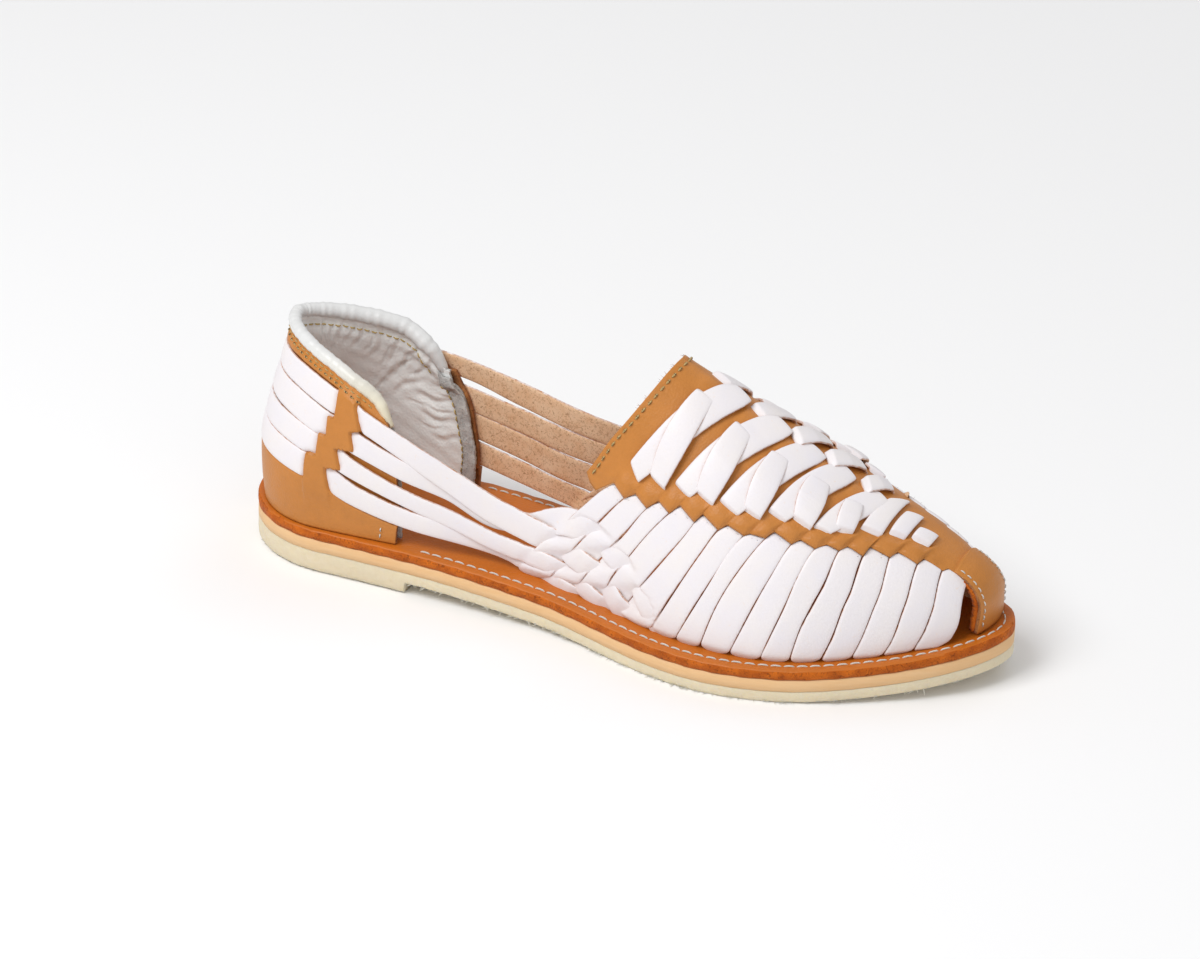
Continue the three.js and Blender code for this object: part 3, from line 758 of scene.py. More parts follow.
# Where the straps go into the counter and come out again, up the slits' edges
slitBack = {"height": [33.6, 41.4, 41.5, 48.6, 48.7, 54.8, 54.9, 63.3],
            "turn": [0.99, 0.98, 1.07, 1.04, 1.11, 1.07, 1.13, 1.08]}
slitFront = {"height": [29.3, 38.0, 38.1, 45.2, 45.3, 51.6, 52.6, 60.2],
             "turn": [1.22, 1.18, 1.31, 1.23, 1.38, 1.31, 1.39, 1.28]}

# The four straps, from the outer side's waist round the heel to the inner one: the
# height of the middle line and the width at each turn
heelStraps = [
    {"turn": [-3.78, -3.65, -3.52, -3.33, -3.13, -3.0, -2.6, -2.2, -1.8, -1.42, -1.1, -0.6, 0,
              0.6, 1.1, 1.42, 1.8, 2.3, 2.8, 3.3, 3.6, 3.9, 4.2],
     "height": [10.5, 15.5, 20.5, 24, 27, 28.3, 33, 41, 49, 55.3, 59.6, 63.1, 64.1,
                63.1, 59.6, 56.5, 55.4, 53.5, 50.2, 46, 40, 29, 12],
     "width": [8, 8.6, 9, 9, 9.2, 9.6, 9.4, 7.6, 6.6, 6.2, 6.9, 7.0, 7.0,
               7.0, 6.9, 7.4, 7.4, 8.6, 8.4, 8.2, 8.4, 8.4, 8]},
    {"turn": [-4.1, -4.0, -3.86, -3.66, -3.47, -3.31, -3.2, -3.07, -2.87, -2.6, -2.2, -1.8, -1.42,
              -1.1, -0.6, 0, 0.6, 1.1, 1.42, 1.8, 2.3, 2.8, 3.3, 3.6, 3.85, 4.0],
     "height": [10.5, 17, 25, 31, 34.5, 36, 35.8, 34.4, 30.8, 30, 37, 42.2, 47.5, 51.7, 55.3, 56.3,
                55.3, 51.7, 48.3, 45, 44, 41.4, 38, 31, 20, 11],
     "width": [8, 8.6, 9, 10, 10, 10, 9.6, 8.6, 7.8, 7.4, 7, 6.4, 6.8, 8.0, 8.3, 8.3,
               8.3, 8.0, 7.6, 8.6, 8.6, 8.6, 8.6, 8.6, 8.4, 8]},
    {"turn": [-3.57, -3.4, -3.22, -3.02, -2.87, -2.6, -2.2, -1.8, -1.42, -1.1, -0.6, 0,
              0.6, 1.1, 1.42, 1.8, 2.3, 2.8, 3.3, 3.55, 3.75],
     "height": [10.5, 14.3, 17, 19.6, 20.4, 22.4, 28, 33.2, 38.8, 44, 47, 47.5,
                47, 44, 39.8, 36.4, 35.1, 32, 28.6, 20, 11],
     "width": [6.6, 6.6, 6.6, 6.8, 6.6, 6.4, 6.2, 5.8, 6.2, 7.4, 7.8, 7.8,
               7.8, 7.6, 8, 9, 9.2, 9.4, 9, 8.6, 8]},
    {"turn": [-3.33, -3.2, -3.03, -2.87, -2.6, -2.2, -1.8, -1.42, -1.1, -0.6, 0,
              0.6, 1.1, 1.42, 1.8, 2.3, 2.8, 3.3, 3.5],
     "height": [10.5, 12.6, 14.4, 16.2, 19.6, 22.8, 25.6, 30, 36.0, 38.8, 39.5,
                38.8, 36.0, 30.8, 27.4, 25.8, 23, 18.6, 11],
     "width": [5.6, 5.6, 5.6, 5.6, 5.8, 6.4, 7, 7.6, 8.2, 8.6, 8.6,
               8.6, 8.2, 8, 8, 8, 7.6, 7.6, 7]},
]
strapLook = {
    "thick": 1.3, "sunk": -0.72, "under": -2.4, "crown": 0.08,
    "weaveMiddle": -1.45, "weaveSwing": 0.72,
}


def heelTurn(x, height):
    return 1 + (x - heelBack(height) - backDepth) / turnLength


def slitAt(table, height):
    return np.interp(height, table["height"], table["turn"])


def bridgeMask(height, turn, soft):  # 1 on the strip of counter that the straps pass under
    around = np.abs(turn)
    inside = smooth((around - slitAt(slitBack, height)) / soft + 0.5)
    return inside * smooth((slitAt(slitFront, height) - around) / soft + 0.5)


rowOrder = {-1: [1, 0, 2, 3], 1: [0, 1, 2, 3]}  # the straps' rows in the braid, top first


def strapHeight(index, turn):
    row = heelStraps[index]
    return through(row["turn"], row["height"])(turn)


def braidRow(x, height, side):  # which row of the braid a place lies on
    rows = np.stack([strapHeight(k, side * heelTurn(x, height)) for k in rowOrder[side]], -1)
    value = np.zeros_like(height)
    for k in range(3):
        drop = np.maximum(rows[..., k] - rows[..., k + 1], 0.5)
        value += np.clip((rows[..., k] - height) / drop, 0, 1)
    return value - np.clip((height - rows[..., 0]) / 6, 0, 1)


# The seams between the loops of the vamp, from the panel's edge down to the sole:
# station and girth from the top line. The first is the edge of the opening.
seams = [
    [(129.2, -50), (124.4, -57), (117.1, -69), (108.5, -84), (104.3, -90.4), (100, -97)],
    [(133.7, -52), (126.6, -64), (118.9, -77.8), (112.5, -91), (108.3, -100)],
    [(141.8, -49.2), (134.8, -63), (125.8, -78.7), (120.4, -89.7), (117.2, -97)],
    [(149.7, -46), (143, -57.2), (136.9, -69), (131.3, -80.4), (127.6, -92)],
    [(158.4, -43.8), (156, -49), (149.6, -61), (143.3, -72.6), (137.1, -83.8), (133.8, -91)],
    [(166.3, -41.8), (162.3, -51), (156.1, -65), (150.2, -78.5), (147, -86)],
    [(174.4, -39), (165.6, -60.5), (160, -74), (156.3, -83)],
    [(180.7, -36), (173.9, -52), (169.4, -64.5), (165.4, -78)],
    [(188.5, -33), (184.7, -46), (181.6, -56), (175.3, -75)],
    [(195.3, -30), (192.4, -41), (190.4, -51), (187.8, -61), (184.9, -71)],
    [(201.9, -26), (200.4, -37), (198.2, -46), (195.8, -55), (193.6, -66)],
    [(208.7, -23), (208.3, -33), (206.7, -41.5), (205, -51), (202.6, -60)],
    [(215.8, -18.5), (216, -27), (214.8, -37), (213.3, -45), (211, -53)],
    [(223.4, -15), (223.5, -24), (222.4, -33), (220.8, -41.5), (219, -47)],
    [(230.5, -11), (230.7, -20), (229.5, -30), (227.4, -38)],
    [(237.5, -8), (237.7, -18), (236, -27.5), (232.8, -34)],
]
# The rear corner of each loop's upper end, where it comes out from under the panel
loopCorners = [
    (129.5, -50.2), (137.3, -47.8), (145.5, -44.6), (152.8, -41.7), (160.6, -40), (168.8, -38.8),
    (176, -37.4), (182.9, -32.6), (190.7, -30.1), (198.1, -26.6), (203.9, -23.1), (209.6, -19.2),
    (217.4, -15.4), (224.6, -12), (231.6, -9.1),
]


def innerShare(x):  # the panel's inner edge lies nearer its middle towards the toe
    return np.interp(x, [188, 205, 215, 225, 234], [1, 0.68, 0.6, 0.68, 1])


def onSide(points, side):  # the inner side mirrors the outer one, to its own girth
    p = np.array(points, float)
    if side > 0:
        low = smooth((-p[:, 1] - 20) / 40)
        near = 1 + (innerShare(p[:, 0]) - 1) * (1 - smooth((-p[:, 1] - 22) / 25))
        p[:, 1] *= -near * np.abs(footGirth(p[:, 0], 1) / footGirth(p[:, 0], -1)) ** low
    return p


def toFoot(points, side, past):  # carries a seam on to the sole's edge
    p = np.array(points, float)
    step = (p[-1] - p[-2]) / np.linalg.norm(p[-1] - p[-2])
    for _ in range(200):
        if abs(p[-1][1]) >= abs(float(footGirth(p[-1][0], side))) + past:
            break
        p[-1] = p[-1] + step * 0.25
    return p


def seamStation(index, side):  # a seam's station at each height, for the braid's columns
    line = alongLine(toFoot(onSide(seams[index], side), side, 0))
    spots = line(np.linspace(0, 1, 60))
    places = vampForm(spots[:, 0], spots[:, 1])
    order = np.argsort(places[:, 2])
    return places[order, 2], places[order, 0]


columnLines = {side: [seamStation(k, side) for k in range(7)] for side in (-1, 1)}


def braidColumn(x, height, side):
    stations = np.stack([np.interp(height, z, s) for z, s in columnLines[side]], -1)
    value = np.full_like(x, 0.5)
    for k in range(6):
        value += np.clip((x - stations[..., k]) / (stations[..., k + 1] - stations[..., k]), 0, 1)
    return value - np.clip((stations[..., 0] - x) / 6, 0, 1)


def weave(count):  # over and under, as 1 and -1, with flat tops
    return np.clip(1.6 * np.cos(math.pi * count), -1, 1)


def strapRise(index, turn, height):
    around, side = np.abs(turn), np.where(turn < 0, -1, 1)
    x = heelForm(height, turn)[..., 0]
    dive = bridgeMask(height, turn, 0.035)
    plain = strapLook["sunk"] + (strapLook["under"] - strapLook["sunk"]) * dive
    deeper = {1: smooth((around - 1.75) / 0.5), 3: smooth((around - 2.0) / 0.6)}.get(index, 0)
    plain = plain - 1.5 * deeper * (turn < 0)
    woven = np.zeros_like(plain)
    share = np.zeros_like(plain)
    for s in (-1, 1):
        row = rowOrder[s].index(index)
        column = braidColumn(x, height, s)
        wave = -weave(row + column) * strapLook["weaveSwing"]
        here = side == s
        woven = np.where(here, strapLook["weaveMiddle"] + wave, woven)
        share = np.where(here, smooth((column - 0.1) / 0.7) * (around > 2.3), share)
    return plain * (1 - share) + woven * share


def makeHeelStraps():
    bm = newMesh()
    for index, row in enumerate(heelStraps):
        turns = np.linspace(row["turn"][0], row["turn"][-1], 260)
        middle = through(row["turn"], row["height"])(turns)
        half = through(row["turn"], row["width"])(turns) / 2
        slope = np.gradient(middle, turns * turnLength)
        lean = np.sqrt(1 + slope ** 2)
        across = sectionAcross[None, :]
        height = middle[:, None] + across * (half / lean)[:, None]
        turn = turns[:, None] - across * (half * slope / lean / turnLength)[:, None]
        rise = strapRise(index, turn, height) + strapLook["crown"] * (1 - across ** 2)
        points = proud(heelForm, height, turn, rise + sectionOver[None, :] * strapLook["thick"] / 2)
        length = turns * turnLength / 10
        around = np.linspace(0, 1, len(strapSection))
        uv = np.stack(np.broadcast_arrays(length[:, None], around[None, :]), -1)
        addGrid(bm, points, uv, wrap=True, close=True)
    piece("heel_straps", bm, [whiteMaterial], subdivide=1, replaces=["upper"])


def collarLean(turn):
    return 0.6 + 2.2 * smooth((np.abs(turn) - 1.1) / 0.3)


def counterRise(height, turn):
    low = strapHeight(3, turn) - 4.4
    high = strapHeight(0, turn) + 4.2
    band = smooth((height - low) / 0.8) * smooth((high - height) / 0.8)
    bridge = bridgeMask(height, turn, 0.03) * smooth((height - 22) / 9) * smooth((68 - height) / 6)
    top = collarHeight(np.abs(turn)) - 1.5
    lean = collarLean(turn) * smooth((height - top + 5) / 5)
    return -0.35 - 1.6 * band * (1 - bridge) + 0.75 * bridge - lean * (1 - band)


counterFoot = float(insoleTop(0.0)) + sole["gap"]


def heightUp(turn, below, up):  # a share of the way from the counter's foot to below the collar
    return counterFoot + (collarHeight(np.abs(turn)) - below - counterFoot) * up


def counterSheet(rise, rows, columns, high=1.0, trim=0.0):
    # a sheet on the heel up to a share of the counter's height, its front edges cut
    up, around = np.meshgrid(np.linspace(0, high, rows), np.linspace(-1, 1, columns), indexing="ij")
    turn = np.where(around < 0, counterFront[-1](up), counterFront[1](up)) - trim
    turn = turn * around
    height = heightUp(turn, 1.5, up)
    points = proud(heelForm, height, turn, rise(height, turn))
    uv = np.stack([turn * turnLength / 10, height / 10], -1)
    return points, uv


def thicken(made, thick, rim=0, inner=0, inwards=True):
    wall = made.modifiers.new("Thickness", "SOLIDIFY")
    wall.thickness, wall.offset = thick, -1 if inwards else 1
    wall.material_offset_rim, wall.material_offset = rim, inner


def makeCounter():
    bm = newMesh()
    points, uv = counterSheet(counterRise, 100, 380)
    addGrid(bm, points, uv)
    bmesh.ops.recalc_face_normals(bm, faces=bm.faces)
    made = piece("counter_leather", bm, [tanMaterial, rawTan], replaces=["counter"])
    thicken(made, 0.0013, rim=1, inner=1)


# Creases of the lining: where each lies, its lean in degrees, its length, width and depth
creaseColumns = ("turn", "height", "lean", "length", "wide", "deep")
creaseRows = [
    (1.42, 55, 70, 15, 1.1, 0.5), (1.25, 58, 62, 17, 1.0, 0.55), (1.1, 60, 66, 12, 0.9, 0.4),
    (0.95, 62, 75, 12, 1.0, 0.45), (0.78, 64, 80, 10, 0.8, 0.45), (0.62, 66, 84, 9, 0.8, 0.5),
    (0.46, 67, 88, 9, 0.7, 0.5), (1.62, 49, 8, 12, 1.2, 0.55), (1.55, 43, 4, 15, 1.2, 0.6),
    (1.6, 36, -4, 13, 1.1, 0.5), (1.7, 30, 6, 10, 1.1, 0.45), (1.3, 46, 40, 14, 1.3, 0.5),
    (1.15, 51, 52, 16, 1.1, 0.45), (1.36, 62, 20, 8, 0.8, 0.6), (-0.5, 62, 80, 12, 1.0, 0.4),
    (-0.9, 55, 60, 16, 1.1, 0.4), (-1.3, 45, 20, 14, 1.2, 0.4), (0.54, 66, 84, 7, 0.5, 0.35),
    (0.7, 65, 78, 8, 0.5, 0.35), (0.87, 62, 74, 9, 0.5, 0.3), (1.03, 57, 62, 10, 0.5, 0.35),
    (1.2, 53, 55, 11, 0.5, 0.35), (1.34, 51, 48, 9, 0.5, 0.3), (1.48, 60, 62, 8, 0.5, 0.35),
    (1.66, 46, 4, 9, 0.5, 0.35), (1.62, 39.5, -2, 10, 0.5, 0.35), (1.55, 33, 6, 9, 0.5, 0.3),
    (1.4, 40, 14, 9, 0.5, 0.3), (1.05, 46, 48, 12, 0.6, 0.3), (0.1, 50, 85, 16, 1.2, 0.35),
]
liningCreases = [dict(zip(creaseColumns, row)) for row in creaseRows]


def creased(height, turn, creases):
    depth = np.zeros_like(height)
    for crease in creases:
        lean = math.radians(crease["lean"])
        dx, dz = (turn - crease["turn"]) * turnLength, height - crease["height"]
        along = dx * math.cos(lean) + dz * math.sin(lean)
        off = -dx * math.sin(lean) + dz * math.cos(lean) + 0.9 * np.sin(along * 0.45 + crease["turn"] * 9)
        fade = np.exp(-(along / (crease["length"] * 0.45)) ** 4)
        beside = (off - 1.7 * crease["wide"]) / crease["wide"]
        trough = np.exp(-(off / crease["wide"]) ** 2) - 0.55 * np.exp(-beside ** 2)
        depth += 0.8 * crease["deep"] * fade * trough
    return depth


def liningRise(height, turn):
    top = collarHeight(np.abs(turn)) - 3.0
    tuck = 1.3 * smooth((height - top + 5) / 5)
    waves = 0.12 * np.sin(height * 0.9 + turn * 7) * np.sin(turn * 16 + height * 0.3)
    lean = collarLean(turn) * smooth((height - top + 6) / 5)
    return -4.1 + tuck - lean + creased(height, turn, liningCreases) + waves


def makeLining():
    bm = newMesh()
    points, uv = counterSheet(liningRise, 90, 300, high=1.03, trim=0.02)
    addGrid(bm, points[:, ::-1], uv[:, ::-1])
    made = piece("heel_lining", bm, [liningMaterial, suedeMaterial])
    thicken(made, 0.0009, rim=1, inner=1)


def stripRise(height, turn):
    return liningRise(height, turn) - 0.4


def stripFace(height, turn):  # the side of the strip that shows
    return stripRise(height, turn) - 0.8


def makeSuedeStrip():  # the rubbed strip of lining between its stitching and the cut edge
    bm = newMesh()
    for side in (-1, 1):
        up, across = np.meshgrid(np.linspace(0, 1.0, 60), np.linspace(0, 1, 8), indexing="ij")
        edge = counterFront[side](up) + 0.01
        turn = side * (edge - 0.13 * (1 - across))
        height = heightUp(turn, 2.6, up)
        turn = turn + side * 0.006 * np.sin(up * 43) * np.sin(up * 91) * across
        points = proud(heelForm, height, turn, stripRise(height, turn))
        uv = np.stack([turn * 4, height / 10], -1)
        addGrid(bm, points if side < 0 else points[:, ::-1], uv)
    made = piece("lining_edge", bm, [suedeMaterial])
    thicken(made, 0.0008, inwards=False)


def collarPlace(turn):
    lean = 2.5 * smooth((np.abs(turn) - 1.1) / 0.3)
    height = collarHeight(np.abs(turn)) - 2.2 * smooth((np.abs(turn) - 1.4) / 0.2)
    return proud(heelForm, height, turn, -1.8 - lean)


def makeCollar():
    bm = newMesh()
    turns = np.linspace(-1.6, 1.6, 200)
    places = collarPlace(turns)
    folds = 0.05 * np.sin(turns * 46) * np.sin(turns * 17 + 1) + 0.03 * np.sin(turns * 90)
    ends = 0.35 + 0.65 * roundEnd(1.6 - np.abs(turns), 0.3, 1.6)
    tube(bm, places, (2.1 + 0.6 * smooth(turns)) * (1 + folds) * ends, sides=20)
    piece("collar_roll", bm, [rollMaterial], replaces=["collar"])


def onHeel(height, turn, rise, flip):  # places just clear of a surface, and its normals
    place = proud(heelForm, height, turn, rise(height, turn) + flip * 0.08)
    return place, outward(heelForm, height, turn) * flip


def heelLine(start, end, below, rise, flip=1, dip=0.0):
    def line(u):
        turn = start + (end - start) * u
        height = collarHeight(np.abs(turn)) - below - dip * smooth((np.abs(turn) - 1.25) / 0.3)
        return onHeel(height, turn, rise, flip)
    return line


def frontLine(side, back, rise, low=0.0, high=0.95, flip=1):
    def line(u):
        up = low + (high - low) * u
        turn = side * (counterFront[side](up) - back)
        height = heightUp(turn, 3.0, up)
        return onHeel(height, turn, rise, flip)
    return line


def makeHeelStitches():
    gold, dark, pale = newMesh(), newMesh(), newMesh()
    stitchRow(gold, heelLine(-1.3, 1.3, 3.9, counterRise), 1.7, 0.8, 0.25)
    stitchRow(dark, heelLine(-1.3, 1.3, 3.9, counterRise), 0.7, 1.8, 0.28)
    stitchRow(gold, heelLine(-1.4, 1.4, 2.7, counterRise), 1.7, 0.7, 0.2)
    for side in (-1, 1):
        stitchRow(pale, frontLine(side, 0.13, counterRise, low=0.02, high=0.2), 1.7, 0.8, 0.24)
        stitchRow(gold, frontLine(side, 0.115, stripFace, flip=-1), 1.9, 0.6, 0.26)
    stitchRow(gold, heelLine(-1.5, 1.5, 4.3, liningRise, flip=-1, dip=5.0), 1.9, 0.5, 0.26)
    piece("collar_stitches", gold, [goldThread])
    piece("collar_stitches_dark", dark, [darkThread])
    piece("counter_stitches", pale, [whiteThread])


makeCounter()
makeLining()
makeSuedeStrip()
makeCollar()
makeHeelStitches()
makeHeelStraps()
print("heel made")

# The vamp: loops from the sole to the panel, the panel, and straps laid over it
vampLook = {"thick": 1.25, "plain": -0.72, "inset": -0.04, "jitter": 0.2, "tuck": 3.4, "crown": 0.06}


def loopEdges(index, side):
    first = [loopCorners[index]] + seams[index][(1 if index == 0 else 0):]
    second = list(seams[index + 1])
    lines = []
    for points in (first, second):
        p = np.array(points, float)
        back = (p[0] - p[1]) / np.linalg.norm(p[0] - p[1])
        away = np.array([0.5, 0.85]) * 0.6 + back * 0.4
        lines.append(toFoot(onSide(np.vstack([p[0] + away * 4, p]), side), side, 0.9))
    left, right = (alongLine(points) for points in lines)
    wobble = [random.uniform(0, 6), random.uniform(0, 6)]
    margin = vampLook["inset"] + random.uniform(0, vampLook["jitter"])

    def edges(u):
        a, b = left(u), right(u)
        across = (b - a) / np.maximum(np.linalg.norm(b - a, axis=1, keepdims=True), 1e-6)
        near = margin + 0.1 * np.sin(u * 9 + wobble[0])[:, None]
        far = margin + 0.1 * np.sin(u * 8 + wobble[1])[:, None]
        return a + across * near, b - across * far
    return lambda u: edges(u)[0], lambda u: edges(u)[1]


def loopRise(index, side):
    def rise(u, x, girth):
        height = vampForm(x, girth)[..., 2]
        row, column = braidRow(x, height, side), braidColumn(x, height, side)
        share = smooth((row + 0.9 - 0.6 * smooth(column - 3.5)) / 0.4) * smooth((5.9 - column) / 0.8)
        woven = strapLook["weaveMiddle"] + weave(row + column) * strapLook["weaveSwing"]
        tucked = vampLook["plain"] - 1.45 * (1 - smooth((u - 0.03) / 0.07)) + 0.3 * np.sin(math.pi * u)
        foot = 1.0 * smooth((u - 0.93) / 0.07)
        proudToe = 0.5 * smooth((index - 9) / 2) * (1 - smooth(u * 2)) * (side > 0)
        return tucked * (1 - share) + woven * share - foot + proudToe
    return rise


def makeLoops():
    bm = newMesh()
    for side in (-1, 1):
        for index in range(15):
            left, right = loopEdges(index, side)
            if side > 0:
                left, right = right, left
            ribbon(bm, vampForm, left, right, loopRise(index, side), vampLook["thick"], 56,
                   ends=(0, vampLook["tuck"]), tilt=random.uniform(-0.14, 0.14), crown=vampLook["crown"])
    piece("vamp_loops", bm, [whiteMaterial], subdivide=1, replaces=["upper"])


# The panel's side edge, stepping back at every loop
panelSide = [(119.8, -53.8), (121.2, -56.2), (123.4, -57.2)]
for k in range(14):
    panelSide += [loopCorners[k], seams[k + 1][0]]
panelSide += [loopCorners[14], (234, -8.7)]
panelSide = np.array(panelSide, float)
panelLook = {"steps": 6, "across": 96, "tabSteps": 40, "band": 1.3, "bandWide": 8.5, "bridge": 0.75}

# The toe tab: station, height over the insole, shift to the inner side and half width
tabRows = np.array([
    [234, 24.2, 0, 8.6], [239, 20, 0, 8.6], [242.8, 14.6, 0.6, 9.2],
    [244.6, 8.4, 1.4, 10], [244.4, 0.1, 2.2, 11.2],
])
tabBow = 2.6


def tabForm(row, across):
    station, height, shifted, half = (through(np.arange(5), tabRows[:, k])(row) for k in range(4))
    behind = tabBow * across ** 2
    fall = row / 4
    drop = 1.5 * across ** 2 * (1 - fall) ** 2
    y = centreLine(station) + shifted + across * half
    z = upperFoot(station) + height - behind * (1 - fall) * 0.5 - drop
    return np.stack([station - behind * fall, y, z], -1)


def edgeGirth(x, side):
    line = onSide(panelSide, side)
    return np.interp(x, line[:, 0], line[:, 1])


# Straps laid over the panel: the corners of their lower and upper ends (left, right)
overStraps = [
    ((141.8, -38.5), (147.2, -39.7), (148.5, -7.1), (154.3, -7.2)),
    ((157.3, -34.4), (163.3, -35.6), (162.1, -9), (167.6, -10.3)),
    ((172.6, -31.3), (178, -31.6), (174.6, -10.8), (179.8, -10.4)),
    ((186.9, -25.2), (192.5, -25.4), (186.9, -10.3), (192.6, -9.8)),
    ((198.8, -20.7), (203.9, -18.6), (198.2, -10.3), (203, -8.8)),
]
underStraps = [
    ((134.6, -39.5), (138.2, -43.4), (155.4, 2), (163.5, -1)),
    ((150.2, -36), (155.8, -37.5), (169.2, 0.8), (177.5, -2.2)),
    ((165, -33), (171.6, -34.2), (181.2, 0.2), (188.6, -2)),
    ((179.6, -27.6), (185.3, -27.9), (191.4, 0.8), (198.2, -1.8)),
    ((193.2, -24), (198.3, -23), (203.4, 0), (209.4, -3)),
]
ridgeStraps = [
    ((149.4, 4.2), (155.5, 1.3), (153.4, 13), (159.8, 11)),
    ((163.5, 0.8), (168.9, -2.5), (168.4, 12), (174.4, 9.6)),
    ((176, 1), (180.5, -3.6), (181.6, 11), (186.8, 8)),
    ((187, 2), (191, -2.9), (193, 10.8), (198, 7.4)),
    ((199, 1.5), (202.6, -3.4), (203, 9.6), (207.4, 6)),
]
toeStraps = [
    ((205.3, -15.1), (211.6, -13.8), (208, 0.5), (212.8, 5.8)),
    ((213, -11.1), (217.9, -9.8), (214, -0.2), (218.9, 1.8)),
    ((219.1, -8.1), (224.5, -7.5), (219.8, -3.2), (225.1, -1.3)),
]
overLook = {"thick": 1.3, "dip": 1.5, "depth": 1.5}


def layStrap(bm, ends, side, lifts, bulge=0.0, soften=(0, 0), past=(0.9, 0.9)):
    a, b = np.array(ends[:2], float), np.array(ends[2:], float)
    run = b.mean(0) - a.mean(0)
    long = np.linalg.norm(run)
    run /= long
    square = np.array([run[1], -run[0]])

    def edge(which, sign):
        def line(u):
            start, end = a[which] - run * past[0], b[which] + run * past[1]
            swell = bulge * np.sin(math.pi * np.clip(u, 0, 1))[:, None] * square * sign
            points = start + (end - start) * np.asarray(u)[:, None] + swell
            return onSide(points, side)
        return line
    left, right = edge(0, -1), edge(1, 1)
    if side > 0:
        left, right = right, left

    def rise(u, x, girth):
        plain = np.interp(u, np.linspace(0, 1, len(lifts)), lifts)
        away = np.minimum(u * long, (1 - u) * long)
        return plain - overLook["depth"] * (1 - smooth(away / overLook["dip"]))
    ribbon(bm, vampForm, left, right, rise, overLook["thick"], 64, ends=soften, crown=0.25,
           tilt=random.uniform(-0.06, 0.06))


def shiftTop(ends, girth):  # the same strap, its upper end moved to another girth
    a, b = np.array(ends[:2], float), np.array(ends[2:], float)
    run = b.mean(0) - a.mean(0)
    moved = b + run * (girth - b[:, 1].mean()) / run[1]
    return [tuple(a[0]), tuple(a[1]), tuple(moved[0]), tuple(moved[1])]


def makeOverlays():
    bm = newMesh()
    for side in (-1, 1):
        for k in range(5):
            over, under = overStraps[k], underStraps[k]
            if side > 0:
                over, under = shiftTop(over, -17), shiftTop(under, -17)
            crossed = [1.0, 2.0, 2.2, 1.7, 1.1] if k < 4 else [1.0, 1.6, 2.0, 1.9, 1.4]
            if side < 0 or k < 4:
                layStrap(bm, over, side, crossed, bulge=1.25 if k < 4 else 0.6)
            top = 2.0 if k < 2 and side < 0 else 1.0
            layStrap(bm, under, side, [0.95, 0.85, 0.8, 0.9, top], bulge=0.9,
                     soften=(0, 7.5), past=(0.9, 2.2))
    for ends in toeStraps:
        layStrap(bm, ends, -1, [0.95, 1.0, 0.95], bulge=0.2)
    for k, ends in enumerate(ridgeStraps):
        start = 1.0 if k < 2 else 1.9
        layStrap(bm, ends, -1, [start, start + 0.2, 1.1], bulge=0.3)
    piece("panel_straps", bm, [whiteMaterial], subdivide=1, replaces=["upper"])


def panelRise(x, girth, edge):
    inward = np.abs(edge) - np.abs(girth)
    stations = [panelSide[0][0]]
    phases = [0.0]
    for k in range(15):
        stations += [loopCorners[k][0], seams[k + 1][0][0]]
        phases += [k + 0.62, k + 1.5]
    phase = np.interp(x - 0.55 * inward, stations, phases)
    ridges = 1 - np.abs(2 * ((phase - 0.6) % 1) - 1) ** 3
    window = smooth((inward + 0.5) / 2.0) * (1 - smooth((inward - 3.5) / (panelLook["bandWide"] - 3.5)))
    behind = smooth((x - 126) / 6) * (1 - smooth((x - 222) / 8))
    behind = behind * (1 - (girth > 0) * smooth((x - 190) / 12))
    rise = 0.05 + panelLook["band"] * window * behind * (0.12 + 0.88 * ridges)
    for ends, above in zip(overStraps, ridgeStraps):
        middle = (np.array(ends[2:]).mean(0) + np.array(above[:2]).mean(0)) / 2
        away = ((x - middle[0]) / 3.4) ** 4 + ((girth - middle[1]) / 3.6) ** 4
        rise += panelLook["bridge"] * np.exp(-away)
    return rise + 0.05 * np.sin(x * 0.21 + 1) * np.cos(girth * 0.17)


def makePanel():
    bm = newMesh()
    steps = panelLook["steps"]
    stations = np.concatenate([
        np.linspace(panelSide[i][0], panelSide[i + 1][0], steps + 1)[:-1] for i in range(len(panelSide) - 1)
    ])
    share = np.linspace(-1, 1, panelLook["across"] + 1)
    s, x = np.meshgrid(share, stations)
    edge = np.where(s < 0, edgeGirth(x, -1), edgeGirth(x, 1))
    base = panelGirth(x) * np.where(s > 0, innerShare(x), 1)
    plain = base + (np.abs(edge) - base) * smooth((np.abs(s) - 0.7) / 0.3)
    girth = s * plain
    gone = (x - stations[0]) / (234 - stations[0])
    place = x + 21.2 * (1 - np.abs(s) ** 1.35) * (1 - gone)
    points = proud(vampForm, place, girth, panelRise(place, girth, edge))
    uv = np.stack([place / 10, girth / 10], -1)
    rows = np.linspace(0, 4, panelLook["tabSteps"])
    across, row = np.meshgrid(share, rows)
    tab = proud(tabForm, row, across, 0.05 + 0 * row)
    tabUv = np.stack([23.4 + row * 0.7, across * 0.9], -1)
    addGrid(bm, np.vstack([points, tab]), np.vstack([uv, tabUv]))
    made = piece("panel_leather", bm, [tanMaterial, rawTan, fleshMaterial],
                 replaces=["vamp_panel"])
    thicken(made, 0.0013, rim=1, inner=2)


def makeTabBacking():  # the thick suede layer behind the tab, showing along its edges
    bm = newMesh()
    across, row = np.meshgrid(np.linspace(-1.03, 1.03, 30), np.linspace(0.7, 3.97, 34))
    rough = 0.12 * np.sin(row * 31 + across * 9) * np.sin(row * 17)
    points = proud(tabForm, row, across + 0.012 * np.sin(row * 23), -1.35 + rough)
    addGrid(bm, points, np.stack([row, across], -1))
    made = piece("tab_backing", bm, [rimEdge])
    thicken(made, 0.0019)


